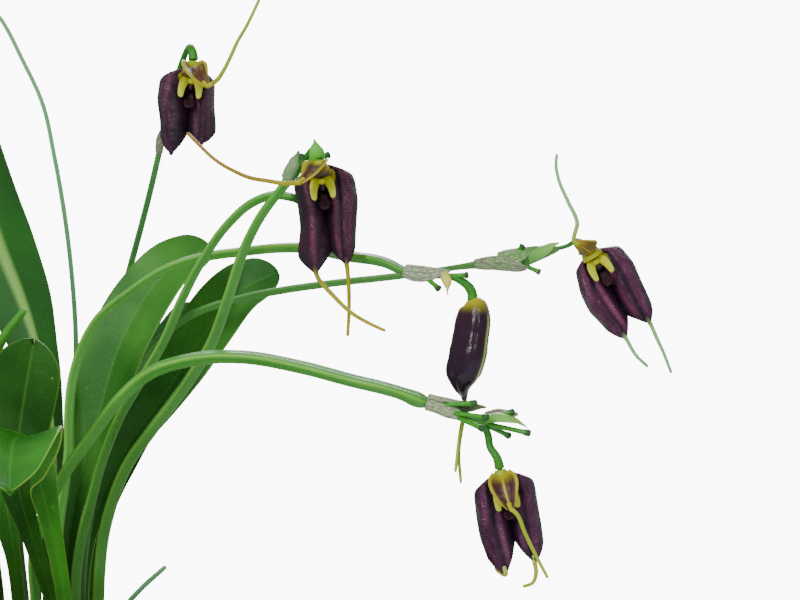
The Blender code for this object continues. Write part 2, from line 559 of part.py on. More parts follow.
STEMS = [
    Stem(
        "stem_high",
        [(1.5, 21, 72, 0.75), (1.7, 22, 78.7, 0.75), (4.1, 24, 96.0, 0.72), (8.3, 26, 116.9, 0.7),
         (13.5, 25, 136.3, 0.66), (17.1, 16, 146.5, 0.62), (20.1, 5, 154.6, 0.6), (21.6, 0.5, 159.5, 0.58),
         (23.6, -1.5, 166.0, 0.55)],
        [(23.2, -1.0, 165.0, 0.5), (24.8, -3.0, 170.2, 0.62), (26.4, -5.4, 173.2, 0.75),
         (27.1, -7.4, 172.5, 0.82), (27.2, -8.0, 171.4, 0.85), (27.14, -8.0, 170.2, 0.85)],
        [((23.4, -1.4, 165.5), (23.0, 0.6, 169.0))],
    ),
    Stem(
        "stem_middle",
        [(11, -1, 72, 1.15), (10.7, -1, 81.0, 1.15), (11.0, -2, 86.0, 1.15), (11.5, -2, 91.0, 1.15),
         (13.0, -3, 97.0, 1.15), (16.0, -5, 104.0, 1.12), (20.0, -7, 109.5, 1.1), (26.5, -10, 118.0, 1.08),
         (30.0, -13, 123.5, 1.05), (33.5, -18, 132.0, 1.0), (36.0, -21, 139.0, 0.95), (39.0, -24, 144.5, 0.9),
         (42.5, -25.5, 149.0, 0.9), (43.8, -25.8, 150.8, 1.15), (45.2, -26, 152.6, 1.0), (45.9, -26.2, 154.0, 0.6)],
        [(44.6, -26, 151.6, 0.6), (46.4, -26.0, 153.8, 0.7), (47.4, -26.6, 155.2, 0.85),
         (48.0, -28.0, 155.1, 0.9), (48.15, -28.7, 154.2, 0.9), (48.25, -28.8, 152.9, 0.9)],
        [((45.0, -26, 152.0), (45.6, -28.6, 153.6)), ((45.4, -26.2, 152.4), (50.0, -25.6, 154.0))],
    ),
    Stem(
        "stem_bud",
        [(4.5, -4, 72, 0.95), (4.5, -4, 81.5, 0.95), (4.2, -4, 88.0, 0.95), (4.6, -4, 94.5, 0.95),
         (5.5, -4, 100.5, 0.95), (6.0, -3, 106.0, 0.95), (6.0, -2.5, 112.0, 0.95), (6.4, -2, 117.0, 0.95),
         (7.9, -2, 122.5, 0.95), (11.0, -3, 128.0, 0.95), (16.5, -4, 132.5, 0.92), (22.0, -5, 136.0, 0.9),
         (28.0, -6, 138.0, 0.9), (35.0, -8, 139.0, 0.9), (45.0, -15, 139.5, 0.95), (53.0, -22, 138.0, 1.0),
         (58.5, -26, 137.0, 0.95), (62.6, -28, 135.2, 0.8), (66.0, -29, 134.9, 0.6), (69.5, -30, 134.8, 0.45)],
        [(68.6, -30, 134.8, 0.5), (70.2, -30, 134.2, 0.62), (71.5, -30, 133.3, 0.72), (72.1, -30, 132.5, 0.78),
         (72.3, -30, 131.75, 0.8)],
        [((65.0, -29, 134.6), (67.1, -31.5, 132.7)), ((68.8, -29.9, 134.8), (71.6, -31.2, 134.9))],
    ),
    Stem(
        "stem_right",
        [(7.0, 10.3, 72, 0.8), (6.6, 10.7, 79.9, 0.8), (6.9, 13, 88.2, 0.8), (8.3, 16.2, 98.3, 0.8),
         (12.2, 18.7, 112.0, 0.8), (17.7, 19.0, 122.3, 0.8), (23.9, 17.4, 127.9, 0.8), (33.5, 15, 131.3, 0.78),
         (40.5, 13, 132.7, 0.76), (49.1, 11, 133.9, 0.74), (61.0, 8, 135.2, 0.7), (72.8, 5, 136.9, 0.72),
         (76.5, 4.4, 137.4, 1.15), (80.2, 3.8, 137.7, 1.7), (83.0, 3.3, 138.4, 1.35), (85.5, 3, 139.1, 0.95),
         (87.8, 3, 139.8, 0.5)],
        [(87.0, 3, 139.5, 0.36), (89.3, 2.4, 140.2, 0.38), (90.5, 1.8, 140.9, 0.45), (91.84, 1.2, 140.5, 0.5)],
        [((80.0, 3.6, 138.0), (81.6, 2.2, 140.2)), ((81.0, 3.6, 137.2), (84.6, 3.2, 135.6))],
    ),
    Stem(
        "stem_low",
        [(0.9, -7.2, 72, 1.1), (1.2, -8, 82.0, 1.1), (1.0, -9, 88.5, 1.1), (2.0, -10, 94.0, 1.1),
         (4.2, -11, 99.0, 1.1), (6.8, -12, 103.5, 1.1), (10.5, -13, 108.5, 1.12), (16.0, -15, 115.5, 1.15),
         (21.0, -17, 119.5, 1.18), (27.5, -19, 121.5, 1.2), (35.5, -22, 122.0, 1.2), (45.0, -25, 120.5, 1.2),
         (53.0, -28, 118.5, 1.18), (61.0, -30, 116.5, 1.12), (65.0, -30.3, 115.0, 1.0),
         (70.0, -31, 113.0, 0.8), (75.0, -31, 111.6, 0.62)],
        [(74.0, -31, 111.8, 0.5), (74.7, -31.4, 110.0, 0.6), (75.0, -32.2, 108.2, 0.6),
         (76.1, -33.0, 106.4, 0.68), (76.51, -33, 104.7, 0.8)],
        [((66.0, -30.4, 114.6), (73.0, -33.2, 115.0)), ((68.5, -31.0, 113.5), (74.7, -34.6, 112.8)),
         ((69.5, -31.0, 112.9), (74.0, -35.0, 111.0)), ((73.0, -30.8, 112.4), (78.9, -31.4, 113.6)),
         ((74.0, -31, 111.8), (81.4, -31.6, 110.2)), ((73.6, -30.8, 111.9), (78.3, -28.0, 109.6))],
    ),
    Stem(
        "stem_young",
        [(7, -0.3, 72, 0.95), (6.8, 0, 81.0, 0.95), (7.0, 0, 86.5, 0.95), (8.0, 0, 92.5, 0.95),
         (9.5, -1, 97.5, 0.95), (11.0, -2, 103.0, 0.95), (12.5, -3, 107.0, 0.95), (14.5, -5, 111.5, 0.95),
         (18.5, -8, 118.0, 0.92), (22.5, -11, 124.5, 0.9), (25.5, -13.5, 131.0, 0.88), (29.0, -15, 137.5, 0.86),
         (33.0, -16.5, 143.0, 0.84), (37.0, -18, 146.5, 0.82), (41.0, -20, 147.8, 0.8), (44.5, -21.5, 147.2, 0.75)],
        [(43.5, -21.0, 147.5, 0.62), (45.5, -22.0, 146.6, 0.85), (46.2, -22.4, 144.8, 0.7)],
        [],
    ),
    Stem(
        "stem_tall_thin",
        [(2, 26, 72, 0.55), (2, 27, 78.0, 0.55), (2, 30, 95.5, 0.55), (3.0, 33, 113.0, 0.53),
         (3.0, 35, 123.0, 0.52), (2.0, 38, 134.5, 0.5), (0.5, 40, 145.5, 0.5), (-1.5, 41, 156.5, 0.48),
         (-4.0, 42, 167.0, 0.47), (-7.5, 42, 174.5, 0.46), (-11.5, 42, 182.0, 0.45), (-17.0, 42, 187.8, 0.45)],
        [(-16.2, 42, 187.2, 0.4), (-19.0, 41.8, 189.0, 0.42), (-21.6, 41.4, 188.8, 0.5), (-23.0, 41, 187.0, 0.62)],
        [((-17.0, 42, 187.8), (-18.0, 42, 191.0))],
    ),
    Stem(
        "sprout_pale",
        [(11.0, 22.5, 72, 0.45), (11.8, 22.2, 75.5, 0.45), (15.4, 20.8, 80.2, 0.45), (20.4, 20, 84.8, 0.4)],
        [], [], 1.0,
    ),
    Stem(
        "shoot_left",
        [(-7.3, 13.2, 72, 0.9), (-8.0, 12.5, 82.0, 0.9), (-9.6, 9, 100.5, 0.9), (-8.6, 3, 114.5, 0.88),
         (-5.4, -3, 123.5, 0.85), (-0.5, -8, 129.5, 0.6)],
        [], [], 1.0,
    ),
]


def stub(name, ends):
    """A cut-off stub with a slightly wider end."""
    start, end = np.array(ends[0], float), np.array(ends[1], float)
    shoulder = start + (end - start) * 0.82
    rows = [(*start, STUB_RADIUS * 0.9), (*shoulder, STUB_RADIUS), (*end, STUB_RADIUS * 1.25)]
    return stalk(name, rows, "stem_green", step=2.2, around=6, first_side=(0.1, 1, 0.2))


def build_stem(stem):
    """The stem, with the bloom's stalk and the stubs joined to it."""
    main = stalk(stem.name, rooted(stem.route), "stem_green", flute=stem.flute)
    grown = []
    if stem.flower_stalk:
        grown.append(stalk(stem.name + "_flower_stalk", stem.flower_stalk, "stem_green", step=1.6, around=8))
    for number, ends in enumerate(stem.stubs):
        grown.append(stub(f"{stem.name}_stub_{number}", ends))
    if grown:
        combine(main, grown, "UNION")
    return main


# Bracts: papery sheaths that wrap the tip part of a stem from one side, as routes with inner radii


@dataclass
class Bract:
    """One papery bract. It wraps the stem by an angle to each side of the way back points, and narrows to a point."""

    name: str
    route: list
    back: tuple
    wrap: float = 115.0


BRACTS = [
    Bract("bract_bud_grey",
          [(60.2, -27.0, 136.3, 1.3), (62.6, -28, 135.2, 1.25), (66.5, -29.1, 135.3, 1.15), (69.6, -29.6, 136.2, 1.0)],
          (0.1, 0.2, 1)),
    Bract("bract_low_netted",
          [(63.9, -30.2, 115.6, 1.35), (66.0, -30.5, 114.9, 1.35), (70.0, -31.0, 114.1, 1.5), (74.6, -31.4, 113.7, 1.5)],
          (0.2, 0.9, 1), 95.0),
    Bract("bract_low_white",
          [(74.4, -29.3, 112.5, 0.8), (76.0, -29.1, 112.7, 1.05), (77.9, -29.1, 112.7, 1.05), (79.6, -29.4, 112.8, 0.8)],
          (0.1, 1, 0.3), 60.0),
]


def build_bract(bract):
    """A thin shell round part of its route, from a wide wrap at its foot to a narrow tip."""
    shares = np.linspace(0.0, 1.0, 7)
    path = smooth_route(bract.route, shares)
    tangents = unit(np.gradient(path[:, :3], axis=0))
    backs = np.array(bract.back, float)[None] * np.ones((len(path), 1))
    backs = unit(backs - tangents * (backs * tangents).sum(axis=1, keepdims=True))
    sides = np.cross(backs, tangents)
    wrap = np.radians(bract.wrap * (1 - shares**2.2) + 12.0)
    turn = wrap[:, None] * np.linspace(-1.0, 1.0, 8)[None]
    direction = backs[:, None] * np.cos(turn)[..., None] + sides[:, None] * np.sin(turn)[..., None]
    inner = path[:, None, :3] + direction * path[:, 3][:, None, None]
    outer = inner + direction * BLADE_EDGE
    return sheet_solid(bract.name, outer, inner, "bract_paper")


# Blooms


@dataclass
class Bloom:
    """One open bloom. Its own frame has -Y towards its face, +Z up its neck and its origin at the neck's top."""

    name: str
    base: tuple
    turn: float
    lean: float
    nod: float
    left: tuple
    right: tuple
    left_length: float
    right_length: float
    notch: float
    hood: list
    upper_tail: list
    left_tail: list
    right_tail: list

    def frame(self):
        """The matrix from the bloom's own frame to the plant's, in millimetres."""
        turned_up = Matrix.Rotation(math.radians(self.turn), 4, "Z")
        leaned = Matrix.Rotation(-math.radians(self.lean), 4, "Y")
        nodded = Matrix.Rotation(math.radians(self.nod), 4, "X")
        return np.array(Matrix.Translation(self.base) @ turned_up @ leaned @ nodded)

    def placed(self, points):
        """Points of the bloom's own frame, in the plant's frame."""
        matrix = self.frame()
        return np.asarray(points, float) @ matrix[:3, :3].T + matrix[:3, 3]


BLOOMS = [
    Bloom(
        "bloom_high", (27.1, -8.0, 169.8), 0, -5, 0,
        (1.3, 3.6, 5.5, 5.6, 4.8, 4.3), (1.3, 3.0, 3.6, 3.8, 4.4, 4.6), 14.9, 13.0, 11.2,
        [(0, -1.1, -0.4, 1.5), (0.5, -3.0, -1.4, 2.1), (1.7, -4.4, -2.8, 1.5), (3.0, -5.0, -3.9, 0.6)],
        [(30.4, -13, 166.0), (31.4, -14, 166.6), (32.6, -15, 168.2), (33.7, -15, 170.4), (34.8, -15, 172.8),
         (36.1, -14, 175.2), (37.7, -13, 178.7), (39.2, -12, 182.4)],
        [(0.2, 2.0, -2.6), (1.4, 3.6, -4.0), (3.2, 4.0, -3.6)],
        [(0.4, 1.6, -1.8), (1.2, 3.4, -2.0), (1.6, 5.0, -0.8)],
    ),
    Bloom(
        "bloom_middle", (48.3, -28.8, 152.5), 0, 8.3, 0,
        (1.3, 2.9, 4.1, 4.6, 4.8, 5.5), (1.3, 3.3, 5.1, 5.2, 4.5, 3.7), 17.1, 16.6, 13.9,
        [(0, -1.1, -0.4, 1.4), (-0.4, -3.0, -0.9, 2.0), (-1.7, -4.6, -2.0, 1.5), (-3.3, -5.2, -2.9, 0.6)],
        [(44.9, -34.2, 149.1), (43.2, -35, 149.0), (40.6, -35, 149.4), (37.8, -35, 149.9), (35.0, -35, 151.1),
         (32.4, -34.4, 152.7), (30.0, -33.6, 154.9), (27.9, -32.6, 157.0)],
        [(2.7, -0.6, -3.5), (5.7, -1.2, -6.3), (8.7, -1.8, -8.0), (10.9, -2.2, -9.0)],
        [(0.3, 0.4, -3.6), (0.3, 0.6, -7.6), (0.1, 0.4, -11.1)],
    ),
    Bloom(
        "bloom_low", (76.6, -33.0, 104.3), 0, 12, 0,
        (1.3, 3.2, 4.7, 5.1, 5.2, 4.6), (1.3, 3.6, 4.9, 4.7, 4.6, 4.2), 15.7, 14.8, 10.7,
        [(0, -1.1, -0.4, 1.4), (0.0, -2.8, -2.0, 2.3), (0.1, -3.7, -4.0, 1.6), (0.3, -4.1, -5.6, 0.6)],
        [(78.7, -37.5, 98.4), (80.2, -38, 95.2), (81.9, -38, 91.7), (83.7, -38, 88.3)],
        [(-0.7, 1.4, 0.1), (-1.4, 2.6, 0.8), (-1.0, 3.0, 1.8)],
        [(0.2, -0.4, -1.8), (-0.3, -0.8, -3.1), (-1.9, -1.2, -3.7)],
    ),
    Bloom(
        "bloom_right", (92.2, 1.2, 139.9), 0, 31, 0,
        (1.3, 2.6, 3.7, 4.8, 5.1, 4.2), (1.3, 3.6, 5.1, 5.6, 5.1, 4.6), 16.6, 16.4, 13.3,
        [(0, -1.0, -0.8, 1.3), (-0.2, -2.3, 0.1, 1.9), (-0.9, -3.1, 1.5, 1.3), (-1.7, -3.2, 2.7, 0.6)],
        [(90.4, -2, 143.9), (88.9, -2, 147.3), (87.4, -1, 151.0), (87.0, 0, 153.5), (87.2, 1, 155.4)],
        [(1.6, 0.2, -2.7), (3.7, 0.8, -4.7)],
        [(1.2, 0.2, -2.6), (2.3, 0.6, -4.9), (3.7, 1.2, -8.4)],
    ),
]


def lobes_surface(bloom):
    """The middle surface of the two joined lower sepals, as a grid of points in the bloom's own frame.

    Across it t runs from -1 at the left edge to 1 at the right one, and the lobes' tips are at plus and minus
    LOBE_TIP. Each column ends at its own depth, which gives the two tips and the notch between them. From a small
    arc inside the neck the section opens into two arches with a valley between them and edges rolled back.
    """
    half_columns = np.array(LOBE_COLUMNS)
    t = np.concatenate([-half_columns[:0:-1], half_columns])[None, :]
    s = np.array(LOBE_ROWS)[:, None]
    size = np.abs(t)
    length = np.where(t < 0, bloom.left_length, bloom.right_length)
    inward = np.clip((LOBE_TIP - size) / LOBE_TIP, 0.0, 1.0) ** 1.15
    outward = np.clip((size - LOBE_TIP) / (1 - LOBE_TIP), 0.0, 1.0) ** 1.3
    end = length - (length - bloom.notch) * inward - 0.17 * length * outward
    depth = LOBE_TOP + s * (end - LOBE_TOP)
    wide_left = np.interp(depth, LOBE_STATIONS, bloom.left)
    wide_right = np.interp(depth, LOBE_STATIONS, bloom.right)
    wide = np.where(t < 0, wide_left, wide_right)
    opened = np.clip((depth - LOBE_TOP) / LOBE_OPENING, 0.0, 1.0)
    opened = opened * opened * (3 - 2 * opened)
    around = np.radians(80.0) * t
    x = (1 - opened) * LOBE_TOP_RADIUS * np.sin(around) + opened * t * wide
    pinch = np.interp(depth, (5.0, 8.5), (1.35, 0.88))
    arch = np.sin(math.pi * size**pinch) - 0.22 * np.exp(-(((size - LOBE_TIP + 0.06) / 0.09) ** 2))
    bulge = np.interp(depth, (0.0, 2.0, 5.0, 11.0, 17.0), (0.0, 1.4, 2.9, 2.6, 1.2))
    back = np.interp(depth, (0.0, 3.0, 8.0, 17.0), (1.0, 2.3, 2.2, 1.0))
    y = (1 - opened) * LOBE_TOP_RADIUS * np.cos(around)
    y = y + opened * (back - bulge * arch + 0.9 * size**4 * np.clip(depth / 3.0, 0.0, 1.0))
    return np.stack([x, y, -depth + 0.0 * x], axis=-1)


def neck(bloom):
    """The short funnel that carries the sepals."""
    rows = [(0, 0, -NECK_LENGTH, NECK_RADIUS), (0, 0, -NECK_LENGTH / 2, NECK_RADIUS * 0.86), (0, 0, 0, NECK_TOP_RADIUS)]
    turn = np.arange(NECK_SIDES) * 2 * math.pi / NECK_SIDES + NECK_PHASE
    ring = np.stack([np.cos(turn), np.sin(turn), np.zeros(NECK_SIDES)], axis=1)
    points = np.concatenate([np.array(row[:3]) + ring * row[3] for row in rows])
    return solid(bloom.name + "_neck", bloom.placed(points), tube_faces(len(rows), NECK_SIDES), "sepal_purple")


def hood_surface(bloom):
    """The middle surface of the small upper sepal, cupped towards the lobes, in the bloom's own frame."""
    path = smooth_route(bloom.hood, np.linspace(0.0, 1.0, HOOD_RINGS))
    tangents, sides = carried_sides(path[:, :3], (1, 0, 0))
    fronts = np.cross(tangents, sides)
    t = np.linspace(-1.0, 1.0, HOOD_COLUMNS)[None, :, None]
    half = path[:, 3][:, None, None]
    cup = np.linspace(0.75, 0.3, HOOD_RINGS)[:, None, None]
    return path[:, None, :3] + sides[:, None] * t * half + fronts[:, None] * cup * half * t**2


def tail(name, places):
    """A thin tail that narrows to its tip."""
    radii = np.linspace(TAIL_RADIUS, TAIL_TIP_RADIUS, len(places))
    rows = [(*place, radius) for place, radius in zip(places, radii)]
    return stalk(name, rows, "sepal_purple", step=TAIL_STEP, around=TAIL_SIDES, first_side=(0.3, 1, 0.2))


def tail_from(bloom, side, surface, offsets):
    """A lower tail, which starts inside its lobe's tip and goes by the given offsets."""
    tip_column = len(LOBE_COLUMNS) - 1 + side * LOBE_COLUMNS.index(LOBE_TIP)
    tip = surface[-1, tip_column]
    inside = surface[-2, tip_column]
    start = tip + (inside - tip) * 0.6
    places = [start, tip] + [tip + np.array(offset) for offset in offsets]
    return tail(f"{bloom.name}_tail_{'left' if side < 0 else 'right'}", places)


def build_calyx(bloom):
    """Neck, lobes, upper sepal and the three tails, joined."""
    surface = bloom.placed(lobes_surface(bloom))
    thickness = SEPAL_THICKNESS * np.interp(LOBE_ROWS, (0.0, 0.2), (LOBE_TOP_SHARE, 1.0))[:, None, None]
    lobes = thick_sheet(bloom.name + "_calyx", surface, thickness, "sepal_purple")
    hood = bloom.placed(hood_surface(bloom))
    middle = hood.shape[1] // 2
    upper = [hood[-2, middle], hood[-1, middle]] + [np.array(place) for place in bloom.upper_tail]
    grown = [
        neck(bloom),
        thick_sheet(bloom.name + "_hood", hood, SEPAL_THICKNESS, "sepal_purple"),
        tail(bloom.name + "_tail_upper", upper),
        tail_from(bloom, -1, surface, bloom.left_tail),
        tail_from(bloom, 1, surface, bloom.right_tail),
    ]
    return combine(lobes, grown, "UNION")


def build_petals(bloom):
    """The pair of strap-shaped petals and the column between them, on one foot under the neck."""
    top = -NECK_LENGTH - TOUCH_GAP
    foot_rows = [(0, 0.1, top - 0.9, 0.9), (0, 0, top, 0.8)]
    turn = np.arange(8) * 2 * math.pi / 8
    ring = np.stack([np.cos(turn), np.sin(turn), np.zeros(8)], axis=1)
    points = np.concatenate([np.array(row[:3]) + ring * row[3] for row in foot_rows])
    foot = solid(bloom.name + "_petals", bloom.placed(points), tube_faces(2, 8), "petal_yellow")
    grown = []
    for side in (-1, 1):
        path = smooth_route(
            [(side * 0.5, 0.0, top - 0.4, 0.4), (side * 1.2, -0.9, top - 1.6, 0.6), (side * 1.6, -1.6, top - 3.2, 0.5)],
            np.linspace(0.0, 1.0, 4),
        )
        across = np.linspace(-1.0, 1.0, 3)[None, :, None]
        grid = path[:, None, :3] + np.array([0.9, -0.2 * side, 0.3 * side]) * across * path[:, 3][:, None, None]
        grown.append(thick_sheet(f"{bloom.name}_petal_{side}", bloom.placed(grid), PETAL_THICKNESS, "petal_yellow"))
    column_rows = [(0, 0.1, top - 0.5, 0.45), (0, -0.05, top - 1.2, 0.42), (0, -0.3, top - 1.7, 0.36)]
    rows = [(*bloom.placed(row[:3]), row[3]) for row in column_rows]
    grown.append(stalk(bloom.name + "_column", rows, "petal_yellow", step=0.9, around=6))
    return combine(foot, grown, "UNION")


def build_lip(bloom):
    """The dark tongue below the column."""
    top = -NECK_LENGTH - LIP_DROP
    rows = [(0, 0.4, top, 0.5), (0, 0.0, top - 0.8, 0.7), (0, -0.8, top - 1.8, 0.9), (0, -1.5, top - 2.5, 0.6)]
    path = smooth_route(rows, np.linspace(0.0, 1.0, 5))
    across = np.linspace(-1.0, 1.0, 5)[None, :, None]
    half = path[:, 3][:, None, None]
    grid = path[:, None, :3] + np.array([1.0, 0, 0]) * across * half + np.array([0, -0.35, 0]) * half * across**2
    return thick_sheet(bloom.name + "_lip", bloom.placed(grid), PETAL_THICKNESS, "lip_dark")


# Buds


@dataclass
class Bud:
    """A closed bud as a route with radii, its ribs, and its tails."""

    name: str
    route: list
    ribs: int
    rib_depth: float
    slot: str
    tails: list


BUDS = [
    Bud(
        "bud_dark",
        [(72.4, -30, 131.4, 0.9), (72.7, -30, 130.4, 2.0), (72.7, -30, 128.6, 2.8), (72.3, -30, 125.5, 3.05),
         (71.6, -30, 121.5, 3.15), (70.9, -29.8, 119.0, 2.75), (70.8, -29.3, 117.3, 1.5), (71.1, -28.6, 115.9, 0.6),
         (71.1, -28.2, 115.2, 0.45)],
        3, 0.16, "sepal_purple",
        [[(71.1, -28.2, 116.2), (71.1, -27.4, 114.8), (71.1, -26.9, 113.3), (70.6, -26.9, 111.0), (70.1, -27.0, 107.5),
          (69.7, -27.4, 103.9)],
         [(71.1, -28.2, 116.2), (71.2, -27.3, 114.8), (71.2, -26.5, 113.3), (70.8, -26.4, 111.0), (70.3, -26.4, 107.5),
          (70.6, -26.0, 102.1)]],
    ),
    Bud(
        "bud_young",
        [(46.3, -22.5, 144.3, 0.7), (46.5, -22.6, 142.8, 1.3), (46.6, -22.6, 140.8, 1.5), (46.6, -22.5, 138.9, 1.1),
         (46.5, -22.4, 137.4, 0.4)],
        3, 0.1, "stem_green", [],
    ),
    Bud(
        "bud_far",
        [(-23.25, 40.9, 186.5, 0.7), (-23.9, 40.6, 184.9, 1.9), (-24.5, 40.3, 182.0, 2.6), (-25.0, 40.0, 178.4, 2.7),
         (-25.2, 39.8, 174.8, 2.2), (-25.1, 39.8, 172.2, 0.9), (-25.0, 39.8, 171.4, 0.45)],
        3, 0.14, "sepal_purple",
        [[(-25.05, 39.8, 172.4), (-25.0, 39.8, 170.6), (-24.6, 39.6, 167.0), (-23.8, 39.2, 163.0)]],
    ),
]


def build_bud(bud):
    """A ribbed closed bud, with its tails joined at the tip."""
    around = BUD_SIDES
    path = smooth_route(bud.route, np.linspace(0.0, 1.0, BUD_RINGS))
    tangents, sides = carried_sides(path[:, :3], (0.4, -1, 0))
    ups = np.cross(tangents, sides)
    turn = np.arange(around) * 2 * math.pi / around
    ribbed = 1 - bud.rib_depth * (1 - np.abs(np.cos(bud.ribs * turn / 2)))
    half = path[:, 3][:, None, None]
    across = (np.cos(turn) * ribbed)[None, :, None] * half * sides[:, None]
    upward = (np.sin(turn) * ribbed)[None, :, None] * half * ups[:, None]
    points = (path[:, None, :3] + across + upward).reshape(-1, 3)
    body = solid(bud.name, points, tube_faces(len(path), around), bud.slot)
    grown = [tail(f"{bud.name}_tail_{number}", places) for number, places in enumerate(bud.tails)]
    if grown:
        combine(body, grown, "UNION")
    return body


def main():
    """Clears the scene and builds the pot, the mix and the plant."""
    for thing in list(bpy.data.objects):
        bpy.data.objects.remove(thing)
    build_pot()
    roots = [(stem.route[0][0], stem.route[0][1], stem.route[0][3]) for stem in STEMS]
    roots += [(leaf.route[0][0], leaf.route[0][1], leaf.route[0][3] + LEAF_FOOT_SPREAD) for leaf in LEAVES]
    build_mix(roots)
    for leaf in LEAVES:
        build_leaf(leaf)
    for stem in STEMS:
        build_stem(stem)
    for bract in BRACTS:
        build_bract(bract)
    for bloom in BLOOMS:
        build_calyx(bloom)
        build_petals(bloom)
        build_lip(bloom)
    for bud in BUDS:
        build_bud(bud)


main()
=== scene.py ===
"""Looks of a masdevallia orchid in a plain clay pot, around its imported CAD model.

The frame has +Z up and the plant's face towards -Y. Routes and sizes are in millimetres, and MM turns them
into metres where a mesh is made. Each class makes one kind of piece as fine grids of points.
"""

import logging
import math
from dataclasses import dataclass, field
from enum import Enum

import bpy
import numpy as np
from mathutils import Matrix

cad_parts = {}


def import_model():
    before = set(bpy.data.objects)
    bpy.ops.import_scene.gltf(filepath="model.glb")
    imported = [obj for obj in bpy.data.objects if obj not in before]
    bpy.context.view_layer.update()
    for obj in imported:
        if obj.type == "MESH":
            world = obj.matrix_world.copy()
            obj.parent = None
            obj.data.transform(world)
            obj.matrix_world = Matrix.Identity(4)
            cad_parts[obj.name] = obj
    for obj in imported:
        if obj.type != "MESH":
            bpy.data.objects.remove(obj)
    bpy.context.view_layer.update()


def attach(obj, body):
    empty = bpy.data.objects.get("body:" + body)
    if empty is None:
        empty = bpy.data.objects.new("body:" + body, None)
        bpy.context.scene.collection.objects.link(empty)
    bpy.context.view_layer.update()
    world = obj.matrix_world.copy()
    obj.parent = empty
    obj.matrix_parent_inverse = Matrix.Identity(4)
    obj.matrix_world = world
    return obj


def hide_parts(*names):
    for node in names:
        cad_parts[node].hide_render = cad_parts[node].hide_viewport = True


LOG = logging.getLogger("orchid")
MM = 0.001
ROOT_DEPTH = 60.0
ROOT_STRAIGHT_TO = 67.0
MIX_LEVEL = 68.0
MIX_MOUND = 3.0
STALK_THICKNESS = 1.9
MIDRIB_THICKNESS = 1.35
STALK_WIDTH = 3.0
BLADE_WIDTH = 9.0
TIP_NOTCH = 1.3
TIP_NICK = 0.25
LOBE_TIP = 0.55
LOBE_TOP = 0.5
LOBE_TOP_RADIUS = 0.5
LOBE_OPENING = 2.6
NECK_LENGTH = 2.2
TOUCH_GAP = 0.3
LIP_DROP = 2.7
LOBE_STATIONS = (0.0, 1.0, 3.2, 6.4, 9.6, 13.6)
REFRACTION = 1.42
END_SHARES = np.array([0.02, 0.1, 0.25, 0.5, 0.75])
RIM_ROWS = 2.5
RIM_POWER = 14
BRACT_THICKNESS = 0.22
BRACT_INSET = 0.12
SMALL_BRACT_THICKNESS = 0.16

Colour = tuple[float, float, float]


class Slot(Enum):
    """The record's material slots."""

    TERRACOTTA = "terracotta"
    MIX = "potting_mix"
    LEAF = "leaf_green"
    STEM = "stem_green"
    BRACT = "bract_paper"
    SEPAL = "sepal_purple"
    PETAL = "petal_yellow"
    LIP = "lip_dark"


# Shader building


class Field:
    """One value of a shader, with arithmetic that adds the nodes for it."""

    def __init__(self, shader: "Shader", socket: bpy.types.NodeSocket) -> None:
        """Wraps an output socket of the shader's tree."""
        self.shader = shader
        self.socket = socket

    def maths(self, operation: str, first: object, second: object = None) -> "Field":
        """A Math node on one or two values.

        Args:
            operation: The Math node's operation.
            first: A Field or a number.
            second: A Field or a number, or nothing for operations on one value.

        Returns:
            The result.
        """
        inputs = {0: first} if second is None else {0: first, 1: second}
        node = self.shader.node("ShaderNodeMath", {"operation": operation}, inputs)
        return Field(self.shader, node.outputs[0])

    def __add__(self, other: object) -> "Field":
        return self.maths("ADD", self, other)

    def __radd__(self, other: object) -> "Field":
        return self.maths("ADD", other, self)

    def __sub__(self, other: object) -> "Field":
        return self.maths("SUBTRACT", self, other)

    def __rsub__(self, other: object) -> "Field":
        return self.maths("SUBTRACT", other, self)

    def __mul__(self, other: object) -> "Field":
        return self.maths("MULTIPLY", self, other)

    def __rmul__(self, other: object) -> "Field":
        return self.maths("MULTIPLY", other, self)

    def __truediv__(self, other: object) -> "Field":
        return self.maths("DIVIDE", self, other)

    def __pow__(self, other: object) -> "Field":
        return self.maths("POWER", self, other)

    def sine(self) -> "Field":
        """The sine of the value."""
        return self.maths("SINE", self)

    def size(self) -> "Field":
        """The value without its sign."""
        return self.maths("ABSOLUTE", self)

    def step(self, low: float, high: float) -> "Field":
        """A smooth step from 0 at low to 1 at high. It falls where low is over high."""
        settings = {"interpolation_type": "SMOOTHSTEP"}
        if low > high:
            inputs = {0: self, 1: high, 2: low, 3: 1.0, 4: 0.0}
        else:
            inputs = {0: self, 1: low, 2: high, 3: 0.0, 4: 1.0}
        return Field(self.shader, self.shader.node("ShaderNodeMapRange", settings, inputs).outputs[0])


